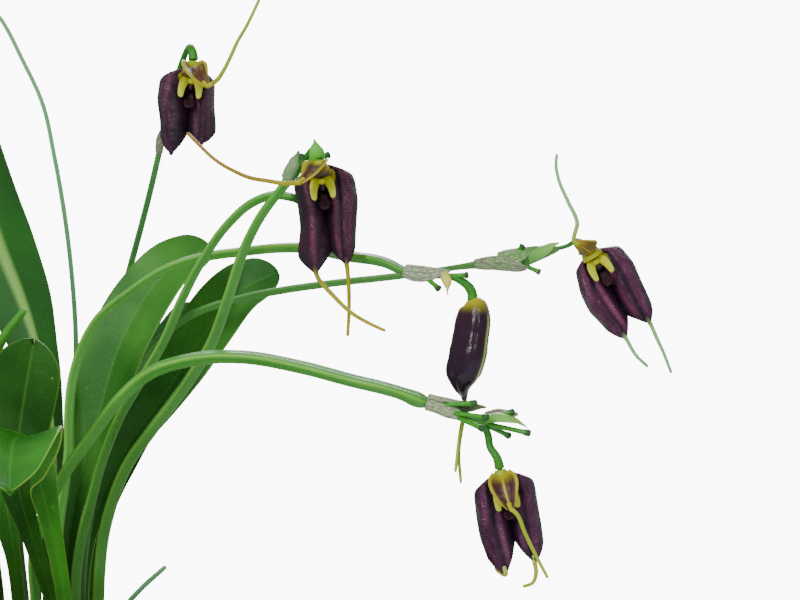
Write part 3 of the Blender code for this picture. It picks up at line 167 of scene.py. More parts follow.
class Shader:
    """A Principled material that is built up from fields."""

    def __init__(self, name: str, roughness: float, sheen: float = 0.0, specular: float = 0.5) -> None:
        """Makes the material.

        Args:
            name: The material's name.
            roughness: The even roughness, where nothing else is linked.
            sheen: The weight of the sheen.
            specular: The level of the mirror-like part, where 0.5 is that of the index of refraction.
        """
        self.material = bpy.data.materials.new(name)
        self.material.use_nodes = True
        self.tree = self.material.node_tree
        self.surface = self.tree.nodes["Principled BSDF"]
        names = ("Roughness", "Sheen Weight", "Specular IOR Level", "IOR")
        for name, value in zip(names, (roughness, sheen, specular, REFRACTION)):
            self.surface.inputs[name].default_value = value
        place = self.node("ShaderNodeTexCoord", {}, {})
        self.place = place.outputs["Object"]
        split = self.node("ShaderNodeSeparateXYZ", {}, {0: place.outputs["UV"]})
        self.across = Field(self, split.outputs[0])
        self.along = Field(self, split.outputs[1])
        world = self.node("ShaderNodeSeparateXYZ", {}, {0: self.place})
        self.height = Field(self, world.outputs[2])

    def node(self, kind: str, settings: dict, inputs: dict) -> bpy.types.Node:
        """Adds one node.

        Args:
            kind: The node's type.
            settings: Its settings, by name.
            inputs: Its values, Fields or sockets, by the input's index or name.

        Returns:
            The node.
        """
        made = self.tree.nodes.new(kind)
        for key, value in settings.items():
            setattr(made, key, value)
        for key, value in inputs.items():
            if isinstance(value, Field):
                self.tree.links.new(value.socket, made.inputs[key])
            elif isinstance(value, bpy.types.NodeSocket):
                self.tree.links.new(value, made.inputs[key])
            else:
                made.inputs[key].default_value = value
        return made

    def vector(self, *parts: object) -> bpy.types.NodeSocket:
        """A vector from three fields or numbers."""
        return self.node("ShaderNodeCombineXYZ", {}, dict(enumerate(parts))).outputs[0]

    def noise(self, scale: float, detail: float = 3.0, place: object = None, rough: float = 0.55) -> Field:
        """Noise from 0 to 1 on object coordinates, or on another vector."""
        inputs = {"Vector": place or self.place, "Scale": scale, "Detail": detail, "Roughness": rough}
        return Field(self, self.node("ShaderNodeTexNoise", {}, inputs).outputs[0])

    def cells(self, scale: float, feature: str = "F1", place: object = None, spread: float = 1.0) -> Field:
        """Distances in a Voronoi pattern."""
        inputs = {"Vector": place or self.place, "Scale": scale, "Randomness": spread}
        made = self.node("ShaderNodeTexVoronoi", {"feature": feature}, inputs)
        return Field(self, made.outputs["Distance"])

    def mix(self, first: object, second: object, share: object) -> bpy.types.NodeSocket:
        """The colour that runs from the first to the second with the share."""
        made = self.node("ShaderNodeMix", {"data_type": "RGBA", "clamp_factor": True}, {0: share})
        for index, colour in ((6, first), (7, second)):
            if isinstance(colour, bpy.types.NodeSocket):
                self.tree.links.new(colour, made.inputs[index])
            else:
                made.inputs[index].default_value = (*colour, 1.0)
        return made.outputs[2]

    def finish(
        self, colour: object, height: object, depth: float, rough: object = None
    ) -> bpy.types.Material:
        """Links the colour, a bump of the given depth in metres and a roughness. Returns the material."""
        self.node_link(colour, "Base Color")
        bump = self.node("ShaderNodeBump", {}, {"Strength": 1.0, "Distance": depth, "Height": height})
        self.node_link(bump.outputs[0], "Normal")
        if rough is not None:
            self.node_link(rough, "Roughness")
        return self.material

    def node_link(self, value: object, name: str) -> None:
        """Links a value to an input of the surface, or sets it there."""
        if isinstance(value, Field):
            value = value.socket
        if isinstance(value, bpy.types.NodeSocket):
            self.tree.links.new(value, self.surface.inputs[name])
        else:
            self.surface.inputs[name].default_value = (*value, 1.0)


@dataclass(frozen=True)
class LeafFinish:
    """Waxy green with a paler midrib, faint veins along the blade and, on some leaves, a yellow edge."""

    name: str
    deep: Colour = (0.006, 0.055, 0.005)
    fresh: Colour = (0.022, 0.14, 0.01)
    pale: Colour = (0.14, 0.34, 0.05)
    edge: float = 0.35
    keel: float = 0.25

    def build(self) -> bpy.types.Material:
        """Makes the material. Veins are sines across the blade, and the midrib is a band at its middle."""
        shader = Shader(self.name, 0.48, specular=0.22)
        patches = shader.noise(55.0, 4.0).step(0.35, 0.68)
        colour = shader.mix(self.deep, self.fresh, patches)
        under = shader.across.step(0.98, 1.02)
        middle_top = (shader.across - 0.5).size()
        middle_under = (shader.across - 1.5).size()
        band = middle_under.step(0.11, 0.02) * under * self.keel * 2.2
        groove = middle_top.step(0.035, 0.0) * (1.0 - under) * self.keel * 1.6
        colour = shader.mix(colour, self.pale, band + groove * 0.8 + 0.05 * under)
        veins = ((shader.across * 150.0 + shader.noise(160.0, 2.0) * 3.0).sine() * 0.5 + 0.5) * 0.5
        colour = shader.mix(colour, self.fresh, veins * 0.3)
        rim_top = middle_top.step(0.47, 0.497) * (1.0 - under) * self.edge
        rim = rim_top + middle_under.step(0.47, 0.497) * under * self.edge
        colour = shader.mix(colour, (0.2, 0.36, 0.03), rim)
        foot = shader.along.step(0.42, 0.05) * 0.55
        colour = shader.mix(colour, (0.07, 0.2, 0.02), foot)
        spots = shader.cells(420.0).step(0.12, 0.03) * shader.noise(120.0).step(0.56, 0.7) * 0.5
        colour = shader.mix(colour, (0.3, 0.36, 0.08), spots)
        height = veins * 0.35 + shader.noise(1300.0, 2.0) * 0.5 + shader.noise(90.0, 3.0) * 1.6
        return shader.finish(colour, height, 0.00012, shader.noise(210.0, 3.0) * 0.22 + 0.36)


@dataclass(frozen=True)
class StemFinish:
    """Smooth green with yellow-green edges, streaked along its length."""

    name: str
    body: Colour = (0.045, 0.21, 0.028)
    ridge: Colour = (0.15, 0.36, 0.03)
    tip: Colour = (0.06, 0.3, 0.03)
    ridge_share: float = 0.75

    def build(self) -> bpy.types.Material:
        """Makes the material. The ridges are where the cosine of three turns round the stem is near one."""
        shader = Shader(self.name, 0.42, specular=0.3)
        ridge = ((shader.across * (6.0 * math.pi) + math.pi / 2).sine()).step(0.62, 0.98)
        streak = shader.noise(1.0, 3.0, shader.vector(shader.across * 26.0, shader.along * 9.0, 0.0))
        colour = shader.mix(self.body, self.ridge, streak.step(0.42, 0.8) * 0.35)
        colour = shader.mix(colour, self.ridge, ridge * self.ridge_share * 0.75)
        colour = shader.mix(colour, self.tip, shader.along.step(0.8, 1.0) * 0.7)
        patches = shader.noise(140.0, 3.0).step(0.45, 0.75)
        colour = shader.mix(colour, (0.02, 0.13, 0.02), patches * 0.22)
        height = streak * 0.8 + shader.noise(900.0, 2.0) * 0.4
        return shader.finish(colour, height, 0.00014, shader.noise(300.0, 2.0) * 0.2 + 0.3)


@dataclass(frozen=True)
class PaperFinish:
    """Dry bract tissue, netted with darker veins."""

    name: str
    ground: Colour = (0.28, 0.33, 0.2)
    vein: Colour = (0.08, 0.1, 0.06)
    flush: Colour = (0.07, 0.24, 0.04)
    flush_share: float = 0.3

    def build(self) -> bpy.types.Material:
        """Makes the material. The net is the walls of stretched cells on the bract's own coordinates."""
        shader = Shader(self.name, 0.72, sheen=0.1)
        stretched = shader.vector(shader.across * 17.0, shader.along * 6.0, 0.0)
        net = shader.cells(1.0, "DISTANCE_TO_EDGE", stretched).step(0.09, 0.0)
        lines = (shader.across * 44.0 + shader.noise(300.0) * 5.0).sine().step(0.55, 1.0)
        flushed = shader.noise(260.0, 3.0).step(0.4, 0.75) * self.flush_share
        colour = shader.mix(self.ground, self.flush, flushed)
        colour = shader.mix(colour, (0.42, 0.36, 0.24), shader.noise(430.0, 4.0).step(0.5, 0.8) * 0.55)
        colour = shader.mix(colour, self.vein, net * 0.5 + lines * 0.25)
        height = net * 1.0 + lines * 0.5 + shader.noise(1500.0, 3.0) * 0.5
        return shader.finish(colour, height, 0.00016, shader.noise(600.0) * 0.2 + 0.6)


@dataclass(frozen=True)
class SepalFinish:
    """Dark purple flesh of small cells in rows with painted glints and highlights on its ridges and painted
    shade between the lobes; yellow about the throat.
    """

    name: str
    dark: Colour = (0.008, 0.002, 0.009)
    wine: Colour = (0.065, 0.012, 0.036)
    glint_mauve: Colour = (0.5, 0.17, 0.28)
    throat: Colour = (0.3, 0.27, 0.003)
    throat_share: float = 1.0
    # The places across and widths of the ridges where highlights are painted
    ridges: tuple = ((0.14, 0.085), (0.33, 0.075), (0.64, 0.075), (0.85, 0.1))

    def build(self) -> bpy.types.Material:
        """Makes the material. Across runs over both lobes, and along is the share of the lobes' depth."""
        shader = Shader(self.name, 0.45, specular=0.3)
        # The lobes' faces are the second half across, which runs back from the right edge to the left one
        seen = shader.across.step(0.98, 1.02)
        place = 2.0 - shader.across
        stretch = shader.vector(shader.across * 70.0, shader.along * 90.0, 0.0)
        lit = shader.cells(1.0, "F1", stretch, 0.85).step(0.5, 0.1)
        patches = shader.noise(190.0, 4.0).step(0.4, 0.7)
        colour = shader.mix(self.dark, self.wine, patches * 0.3 + 0.05)
        # The ridges of the two lobes stand at these places across; their wine bands and mauve glints are
        # painted highlights
        ridges = 0.0
        for middle, width in self.ridges:
            ridges = (place - middle).size().step(width, 0.0) + ridges
        broken = shader.noise(1.0, 2.0, shader.vector(place * 7.0, shader.along * 2.2, 0.0))
        ridges = ridges**1.4 * broken.step(0.25, 0.62)
        # Painted highlight: the ridges are lifted to wine
        wide = shader.mix(colour, self.wine, ridges * seen * 0.9)
        # Painted glints in mauve on the cells, mostly along the ridges
        painted_glints = lit * (ridges * 0.85 + 0.05) * shader.noise(300.0, 3.0).step(0.35, 0.62)
        colour = shader.mix(wide, self.glint_mauve, painted_glints * seen)
        # Brighter painted glints, as pale specks on the ridges
        specks = lit.step(0.45, 0.9) * ridges.step(0.35, 0.9) * shader.noise(620.0, 2.0).step(0.45, 0.6)
        colour = shader.mix(colour, (0.62, 0.36, 0.46), specks * seen * 0.75)
        # Painted shade in the deep groove between the two lobes
        valley_shade = (place - 0.5).size().step(0.1, 0.03) * seen
        colour = shader.mix(colour, self.dark, valley_shade * 0.9)
        colour = shader.mix(colour, self.dark, shader.along.step(0.8, 1.0) * 0.6)
        mouth = shader.along.step(0.36, 0.16) * ((place - 0.5).size().step(0.3, 0.14)) * seen
        mottled = (mouth * (shader.noise(420.0, 3.0) * 0.9 + 0.55)).step(0.35, 0.6)
        colour = shader.mix(colour, self.throat, mottled * self.throat_share)
        height = lit * 0.7 + shader.noise(240.0, 3.0) * 0.8
        return shader.finish(colour, height, 0.00014, shader.noise(500.0, 2.0) * 0.2 + 0.36)


@dataclass(frozen=True)
class RunFinish:
    """Flesh whose colour runs through three tones along its length, with faint streaks."""

    name: str
    start: Colour
    middle: Colour
    end: Colour
    turn: float = 0.35
    stripes: float = 0.0
    stripe: Colour = (0.32, 0.29, 0.002)
    gloss: float = 0.34
    turns: float = 1.0
    blotches: float = 0.3
    line: float = -1.0
    cut: float = 0.0

    def build(self) -> bpy.types.Material:
        """Makes the material. Turn is the share of the length where the middle tone stands."""
        shader = Shader(self.name, self.gloss, specular=0.35)
        colour = shader.mix(self.start, self.middle, shader.along.step(0.0, self.turn))
        colour = shader.mix(colour, self.end, shader.along.step(self.turn, 1.0))
        streak = shader.noise(1.0, 4.0, shader.vector(shader.across * 30.0, shader.along * 5.0, 0.0))
        if self.stripes > 0:
            wave = (shader.across * (2.0 * math.pi * self.turns) + math.pi / 2).sine()
            lines = wave.step(-0.93, -0.995) + wave.step(0.75, 0.97)
            colour = shader.mix(colour, self.stripe, lines * self.stripes)
        blotch = shader.noise(520.0, 3.0).step(0.52, 0.72)
        blotched = blotch * self.blotches + streak.step(0.5, 0.8) * self.blotches * 0.6
        colour = shader.mix(colour, self.start, blotched)
        if self.line >= 0:
            line = (shader.across - self.line).size().step(0.035, 0.012) * shader.along.step(0.12, 0.2)
            colour = shader.mix(colour, self.stripe, line)
        if self.cut > 0:
            cut = shader.along.step(1.0 - self.cut, 1.0 - self.cut * 0.6)
            colour = shader.mix(colour, (0.012, 0.05, 0.01), cut * 0.85)
        return shader.finish(colour, streak * 0.8 + shader.noise(1400.0, 2.0) * 0.5, 0.0001)


@dataclass(frozen=True)
class ClayFinish:
    """Unglazed clay with fine turning lines, darker damp near the base and patches of pale salt."""

    name: str = "clay"

    def build(self) -> bpy.types.Material:
        """Makes the material on object coordinates."""
        shader = Shader(self.name, 0.85)
        clouds = shader.noise(28.0, 5.0)
        colour = shader.mix((0.36, 0.115, 0.05), (0.5, 0.2, 0.1), clouds.step(0.35, 0.7))
        grains = shader.noise(900.0, 2.0).step(0.6, 0.75)
        colour = shader.mix(colour, (0.62, 0.36, 0.22), grains * 0.5)
        specks = shader.cells(520.0).step(0.2, 0.08) * shader.noise(90.0).step(0.5, 0.62)
        colour = shader.mix(colour, (0.2, 0.075, 0.04), specks * 0.6)
        damp = (shader.height + shader.noise(22.0, 4.0) * 0.03).step(0.05, 0.008)
        colour = shader.mix(colour, (0.23, 0.075, 0.035), damp * 0.6)
        salt = shader.noise(34.0, 6.0, rough=0.65).step(0.55, 0.75)
        colour = shader.mix(colour, (0.66, 0.5, 0.4), salt * 0.45)
        rings = (shader.height * 5200.0 + shader.noise(12.0) * 4.0).sine()
        height = rings * 0.25 + shader.noise(700.0, 4.0) * 1.2 + shader.noise(60.0, 3.0) * 1.5
        return shader.finish(colour, height, 0.00022, shader.noise(120.0) * 0.15 + 0.76)


@dataclass(frozen=True)
class BarkFinish:
    """Broken bark in browns with moss on it."""

    name: str
    moss: float = 0.3

    def build(self) -> bpy.types.Material:
        """Makes the material on object coordinates."""
        shader = Shader(self.name, 0.9)
        clouds = shader.noise(170.0, 5.0).step(0.35, 0.7)
        colour = shader.mix((0.028, 0.015, 0.009), (0.16, 0.085, 0.045), clouds)
        colour = shader.mix(colour, (0.3, 0.19, 0.11), shader.noise(480.0, 4.0).step(0.56, 0.75) * 0.6)
        mossy = shader.noise(60.0, 4.0).step(0.62 - self.moss * 0.3, 0.75) * self.moss * 2.0
        colour = shader.mix(colour, (0.09, 0.14, 0.025), mossy)
        height = shader.noise(420.0, 6.0) * 2.0 + shader.cells(900.0) * 0.8
        return shader.finish(colour, height, 0.0006)


@dataclass(frozen=True)
class WartFinish:
    """Nearly black flesh with small round warts."""

    name: str = "lip"

    def build(self) -> bpy.types.Material:
        """Makes the material on object coordinates."""
        shader = Shader(self.name, 0.55, specular=0.3)
        wart = shader.cells(2600.0).step(0.5, 0.1)
        reddened = wart * 0.6 + shader.noise(700.0) * 0.25
        colour = shader.mix((0.006, 0.001, 0.004), (0.05, 0.004, 0.008), reddened)
        return shader.finish(colour, wart, 0.0001)


MATERIALS: dict[str, bpy.types.Material] = {}


def material_of(finish: object) -> bpy.types.Material:
    """The finish's material, made once."""
    if finish.name not in MATERIALS:
        MATERIALS[finish.name] = finish.build()
    return MATERIALS[finish.name]


# Geometry


def unit(vectors: np.ndarray) -> np.ndarray:
    """Vectors along the last axis, each made one long."""
    return vectors / np.maximum(np.linalg.norm(vectors, axis=-1, keepdims=True), 1e-9)


def eased(value: np.ndarray) -> np.ndarray:
    """The smooth step of a value held between 0 and 1: three times its square less twice its cube."""
    held = np.clip(value, 0.0, 1.0)
    return held * held * (3.0 - 2.0 * held)


def route_through(rows: list, shares: np.ndarray) -> np.ndarray:
    """Rows of a smooth curve through the given rows, at the given shares of its length.

    Each span is a cubic with the slope at its ends taken from the neighbours.

    Args:
        rows: Rows that start with a place, and carry any other values after it.
        shares: Shares of the length, from 0 to 1.

    Returns:
        One row for each share.
    """
    rows = np.array(rows, float)
    chord = np.linalg.norm(np.diff(rows[:, :3], axis=0), axis=1)
    knots = np.concatenate([[0.0], np.cumsum(chord)])
    slopes = np.gradient(rows, knots, axis=0)
    dense = np.linspace(0.0, knots[-1], 40 * len(rows))
    span = np.clip(np.searchsorted(knots, dense, "right") - 1, 0, len(chord) - 1)
    width = chord[span][:, None]
    t = (dense[:, None] - knots[span][:, None]) / width
    curve = (
        (2 * t**3 - 3 * t**2 + 1) * rows[span]
        + (t**3 - 2 * t**2 + t) * width * slopes[span]
        + (3 * t**2 - 2 * t**3) * rows[span + 1]
        + (t**3 - t**2) * width * slopes[span + 1]
    )
    steps = np.linalg.norm(np.diff(curve[:, :3], axis=0), axis=1)
    reached = np.concatenate([[0.0], np.cumsum(steps)])
    wanted = np.asarray(shares) * reached[-1]
    return np.stack([np.interp(wanted, reached, column) for column in curve.T], axis=1)


def rooted(route: list) -> list:
    """The route, continued straight down into the mix."""
    x, y, _, width = route[0][:4]
    return [(x, y, ROOT_DEPTH, width), (x, y, ROOT_STRAIGHT_TO, width)] + route


def length_of(rows: list) -> float:
    """The length of a route's straight runs, in millimetres."""
    places = np.array([row[:3] for row in rows], float)
    return float(np.linalg.norm(np.diff(places, axis=0), axis=1).sum())


def tangents_of(path: np.ndarray) -> np.ndarray:
    """The unit tangents at the places of a path."""
    return unit(np.gradient(path[:, :3], axis=0))


def square_to(ways: np.ndarray, tangents: np.ndarray) -> np.ndarray:
    """The ways, turned square to the tangents."""
    return unit(ways - tangents * (ways * tangents).sum(axis=1, keepdims=True))


def carried(path: np.ndarray, first_side: tuple) -> tuple[np.ndarray, np.ndarray]:
    """Tangents of a path, and the sides that a first side becomes when it is carried along without twist."""
    tangents = tangents_of(path)
    side = np.array(first_side, float)
    sides = []
    for tangent in tangents:
        side = side - tangent * side.dot(tangent)
        side = side / np.linalg.norm(side)
        sides.append(side)
    return tangents, np.array(sides)


def domed(value: np.ndarray, least: float = 0.01) -> np.ndarray:
    """A quarter circle's height over a value held between 0 and 1, and at least the root of the least."""
    return np.sqrt(np.clip(1 - (1 - np.clip(value, 0, 1)) ** 2, least, 1.0))


def ring_turns(count: int) -> tuple[np.ndarray, np.ndarray]:
    """The angles of a ring's points, and their shares of the ring as a row."""
    return (np.arange(count) + 0.5) * 2 * math.pi / count, ((np.arange(count) + 0.5) / count)[None]


def rotation(axis: int, angle: float) -> np.ndarray:
    """The matrix of a turn about the X, Y or Z axis, whose number is 0, 1 or 2."""
    made = np.eye(3)
    first, second = (axis + 1) % 3, (axis + 2) % 3
    made[first, first] = made[second, second] = math.cos(angle)
    made[second, first] = math.sin(angle)
    made[first, second] = -math.sin(angle)
    return made


def ripple(points: np.ndarray, wave: float, seed: int) -> np.ndarray:
    """A smooth random value at each point, about from -1 to 1: a mean of sines along random ways.

    Args:
        points: Points, in millimetres, along the last axis.
        wave: The length of a typical wave, in millimetres.
        seed: The draw's seed.

    Returns:
        One value for each point.
    """
    draw = np.random.default_rng(seed)
    ways = unit(draw.normal(size=(9, 3))) * draw.uniform(0.6, 1.8, (9, 1)) * 2 * math.pi / wave
    return np.sin(points @ ways.T + draw.uniform(0, 6.28, 9)).sum(axis=-1) / 3.0


@dataclass
class Skin:
    """A grid of points whose columns close into rings, with coordinates for its finish.

    The second half of each ring mirrors the first, so that a strip of faces between them closes each end.
    """

    points: np.ndarray
    across: np.ndarray
    along: np.ndarray
    period: float = 1.0

    def faces(self, start: int) -> np.ndarray:
        """The faces as indices of points, from the given first index."""
        rings, columns = self.points.shape[:2]
        index = np.arange(rings * columns).reshape(rings, columns) + start
        following = np.roll(index, -1, axis=1)
        body = np.stack([index[:-1], following[:-1], following[1:], index[1:]], axis=-1).reshape(-1, 4)
        half = columns // 2
        near = np.arange(half - 1)
        far = columns - 1 - near
        first, last = index[0], index[-1]
        low = np.stack([first[near], first[far], first[far - 1], first[near + 1]], axis=-1)
        high = np.stack([last[near], last[near + 1], last[far - 1], last[far]], axis=-1)
        return np.concatenate([body, low, high])

    def coordinates(self) -> np.ndarray:
        """The finish's coordinates at each face's corners, in the order of the faces."""
        rings, columns = self.points.shape[:2]
        across = np.broadcast_to(self.across, (rings, columns))
        along = np.broadcast_to(self.along, (rings, columns))
        beyond = np.roll(across, -1, axis=1).copy()
        beyond[:, -1] = across[:, 0] + self.period
        body_u = np.stack([across[:-1], beyond[:-1], beyond[1:], across[1:]], axis=-1)
        body_v = np.stack([along[:-1], along[:-1], along[1:], along[1:]], axis=-1)
        body = np.stack([body_u, body_v], axis=-1).reshape(-1, 2)
        ends = self.faces(0)[(rings - 1) * columns :]
        flat = np.stack([across, along], axis=-1).reshape(-1, 2)
        return np.concatenate([body, flat[ends].reshape(-1, 2)])


def placed_object(name: str, data: object) -> bpy.types.Object:
    """A new object in the scene."""
    made = bpy.data.objects.new(name, data)
    bpy.context.scene.collection.objects.link(made)
    return made


def piece(
    name: str, skins: list[Skin], finish: object, nodes: tuple = (), sharp: float = 50.0
) -> bpy.types.Object:
    """One object of one or more closed skins, which rides on the root body.

    Args:
        name: The object's name.
        skins: Its grids.
        finish: Its finish.
        nodes: The CAD nodes that it stands for.
        sharp: The angle in degrees past which an edge is sharp.

    Returns:
        The object.
    """
    points, faces, coordinates, start = [], [], [], 0
    for skin in skins:
        flat = skin.points.reshape(-1, 3)
        made = skin.faces(start)
        corners = flat[made - start]
        spans = np.cross(corners[:, 2] - corners[:, 0], corners[:, 3] - corners[:, 1])
        inward = ((corners.mean(axis=1) - flat.mean(axis=0)) * spans).sum() < 0
        uv = skin.coordinates().reshape(-1, 4, 2)
        if inward:
            made = made[:, ::-1]
            uv = uv[:, ::-1]
        points.append(flat)
        faces.append(made)
        coordinates.append(uv.reshape(-1, 2))
        start += len(flat)
    mesh = bpy.data.meshes.new(name)
    mesh.from_pydata(np.concatenate(points) * MM, [], np.concatenate(faces).tolist())
    layer = mesh.uv_layers.new(name="UVMap")
    layer.data.foreach_set("uv", np.concatenate(coordinates).astype(np.float32).ravel())
    mesh.materials.append(material_of(finish))
    mesh.shade_smooth()
    mesh.set_sharp_from_angle(angle=math.radians(sharp))
    made_object = placed_object(name, mesh)
    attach(made_object, "root")
    if nodes:
        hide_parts(*nodes)
    LOG.info("%s: %d faces", name, len(mesh.polygons))
    return made_object


def tube(
    rows: list,
    sides: int,
    step: float,
    round_ends: float,
    first_side: tuple = (1, 0, 0),
    flute: float = 1.0,
    ridges: int = 3,
) -> Skin:
    """A tube along a route of places and radii.

    The radius is the route's, times the mean of one and the flute, plus half their difference times the
    cosine of the ridges' turns.

    Args:
        rows: Places with a radius each.
        sides: The points in a ring.
        step: The rings' distance, in millimetres.
        round_ends: The length over which each end rounds off, in millimetres.
        first_side: The way that the first ridge faces at the start.
        flute: The share of the radius that is left between the ridges.
        ridges: The number of ridges.

    Returns:
        The skin.
    """
    length = length_of(rows)
    shares = np.linspace(0.0, 1.0, max(4, round(length / step) + 1))
    near = round_ends / length * END_SHARES
    shares = np.unique(np.concatenate([shares, near, 1 - near]))
    path = route_through(rows, shares)
    tangents, sides_way = carried(path, first_side)
    ups = np.cross(tangents, sides_way)
    turn, across = ring_turns(sides)
    fluted = (1 + flute) / 2 + (1 - flute) / 2 * np.cos(ridges * turn)
    radius = path[:, 3] * domed(np.minimum(shares, 1 - shares) * length / round_ends, 0.0009)
    spread = fluted[None, :, None] * radius[:, None, None]
    points = path[:, None, :3] + spread * (
        np.cos(turn)[None, :, None] * sides_way[:, None] + np.sin(turn)[None, :, None] * ups[:, None]
    )
    return Skin(points, across, shares[:, None])


def two_sided(front: np.ndarray, back: np.ndarray, t: np.ndarray, along: np.ndarray) -> Skin:
    """A skin whose rings run over the front from edge to edge and return over the back.

    Args:
        front: The grid of the front, rows along and columns across.
        back: The grid of the back.
        t: The columns' places across, from -1 to 1.
        along: The rows' coordinate.

    Returns:
        The skin.
    """
    share = (t + 1) / 2
    across = np.concatenate([share, 2.0 - share[::-1]])[None]
    return Skin(np.concatenate([front, back[:, ::-1]], axis=1), across, along[:, None], 2.0)


def sheet(
    middle: np.ndarray, thickness: object, t: np.ndarray, along: np.ndarray, ends: tuple = (True, True)
) -> Skin:
    """A closed thin skin about a grid of points, rounded at its rim.

    Args:
        middle: The grid, rows along and columns across.
        thickness: The thickness, which broadcasts over the grid.
        t: The columns' places across, from -1 to 1.
        along: The rows' coordinate.
        ends: Whether the first and the last rows thin out.

    Returns:
        The skin.
    """
    normal = unit(np.cross(np.gradient(middle, axis=1), np.gradient(middle, axis=0)))
    place = np.arange(len(middle), dtype=float)
    thin = np.ones(len(middle))
    for rounded, distance in zip(ends, (place, len(middle) - 1 - place)):
        if rounded:
            thin = thin * domed(distance / RIM_ROWS)
    edge = np.sqrt(np.clip(1 - np.abs(t) ** RIM_POWER, 0.02, 1.0))
    half = np.broadcast_to(thickness, middle.shape[:2])[..., None] / 2
    shift = normal * (half * (thin[:, None] * edge[None])[..., None])
    return two_sided(middle + shift, middle - shift, t, along)


# The plant's parts


@dataclass
class Leaf:
    """One leaf: its route with half widths, the ways its upper side faces, its channel's depth and a seed."""

    name: str
    route: list
    faces_root: tuple
    faces_tip: tuple
    channel: float = 0.22

    @property
    def nick(self) -> float:
        """The depth of the notch in the tip."""
        return TIP_NOTCH if self.name == "leaf_notched" else TIP_NICK

    @property
    def seed(self) -> int:
        """A seed from the leaf's name."""
        return sum(self.name.encode()) % 97


@dataclass
class Stem:
    """One flower stem: its route with radii, the bloom's stalk, the stubs' ends and its flute."""

    name: str
    route: list
    flower_stalk: list
    stubs: list
    flute: float = 0.66


@dataclass
class Bract:
    """One bract: its route with inner radii, the way of its back and its wrap to each side, in degrees."""

    name: str
    route: list
    back: tuple
    wrap: float = 115.0


@dataclass
class Bloom:
    """One open bloom: its base, lean in degrees, its lobes' half widths and lengths, its hood and its tails.

    Its own frame has -Y towards its face, +Z up its neck and its origin at the neck's top.
    """

    name: str
    base: tuple
    lean: float
    left: tuple
    right: tuple
    left_length: float
    right_length: float
    notch: float
    hood: list
    upper_tail: list
    left_tail: list
    right_tail: list


@dataclass
class Bud:
    """One closed bud: its route with radii, its ribs, its slot and its tails."""

    name: str
    route: list
    ribs: int
    rib_depth: float
    slot: Slot
    tails: list


@dataclass(frozen=True)
class BloomLook:
    """The finishes of one bloom, and the seed of its unevenness."""

    sepal: SepalFinish
    neck: RunFinish
    hood: RunFinish
    upper: RunFinish
    tails: RunFinish
    seed: int
    lift: float = 1.0
    blunt: float = 0.0
    creases: tuple = (0.2, 0.2)


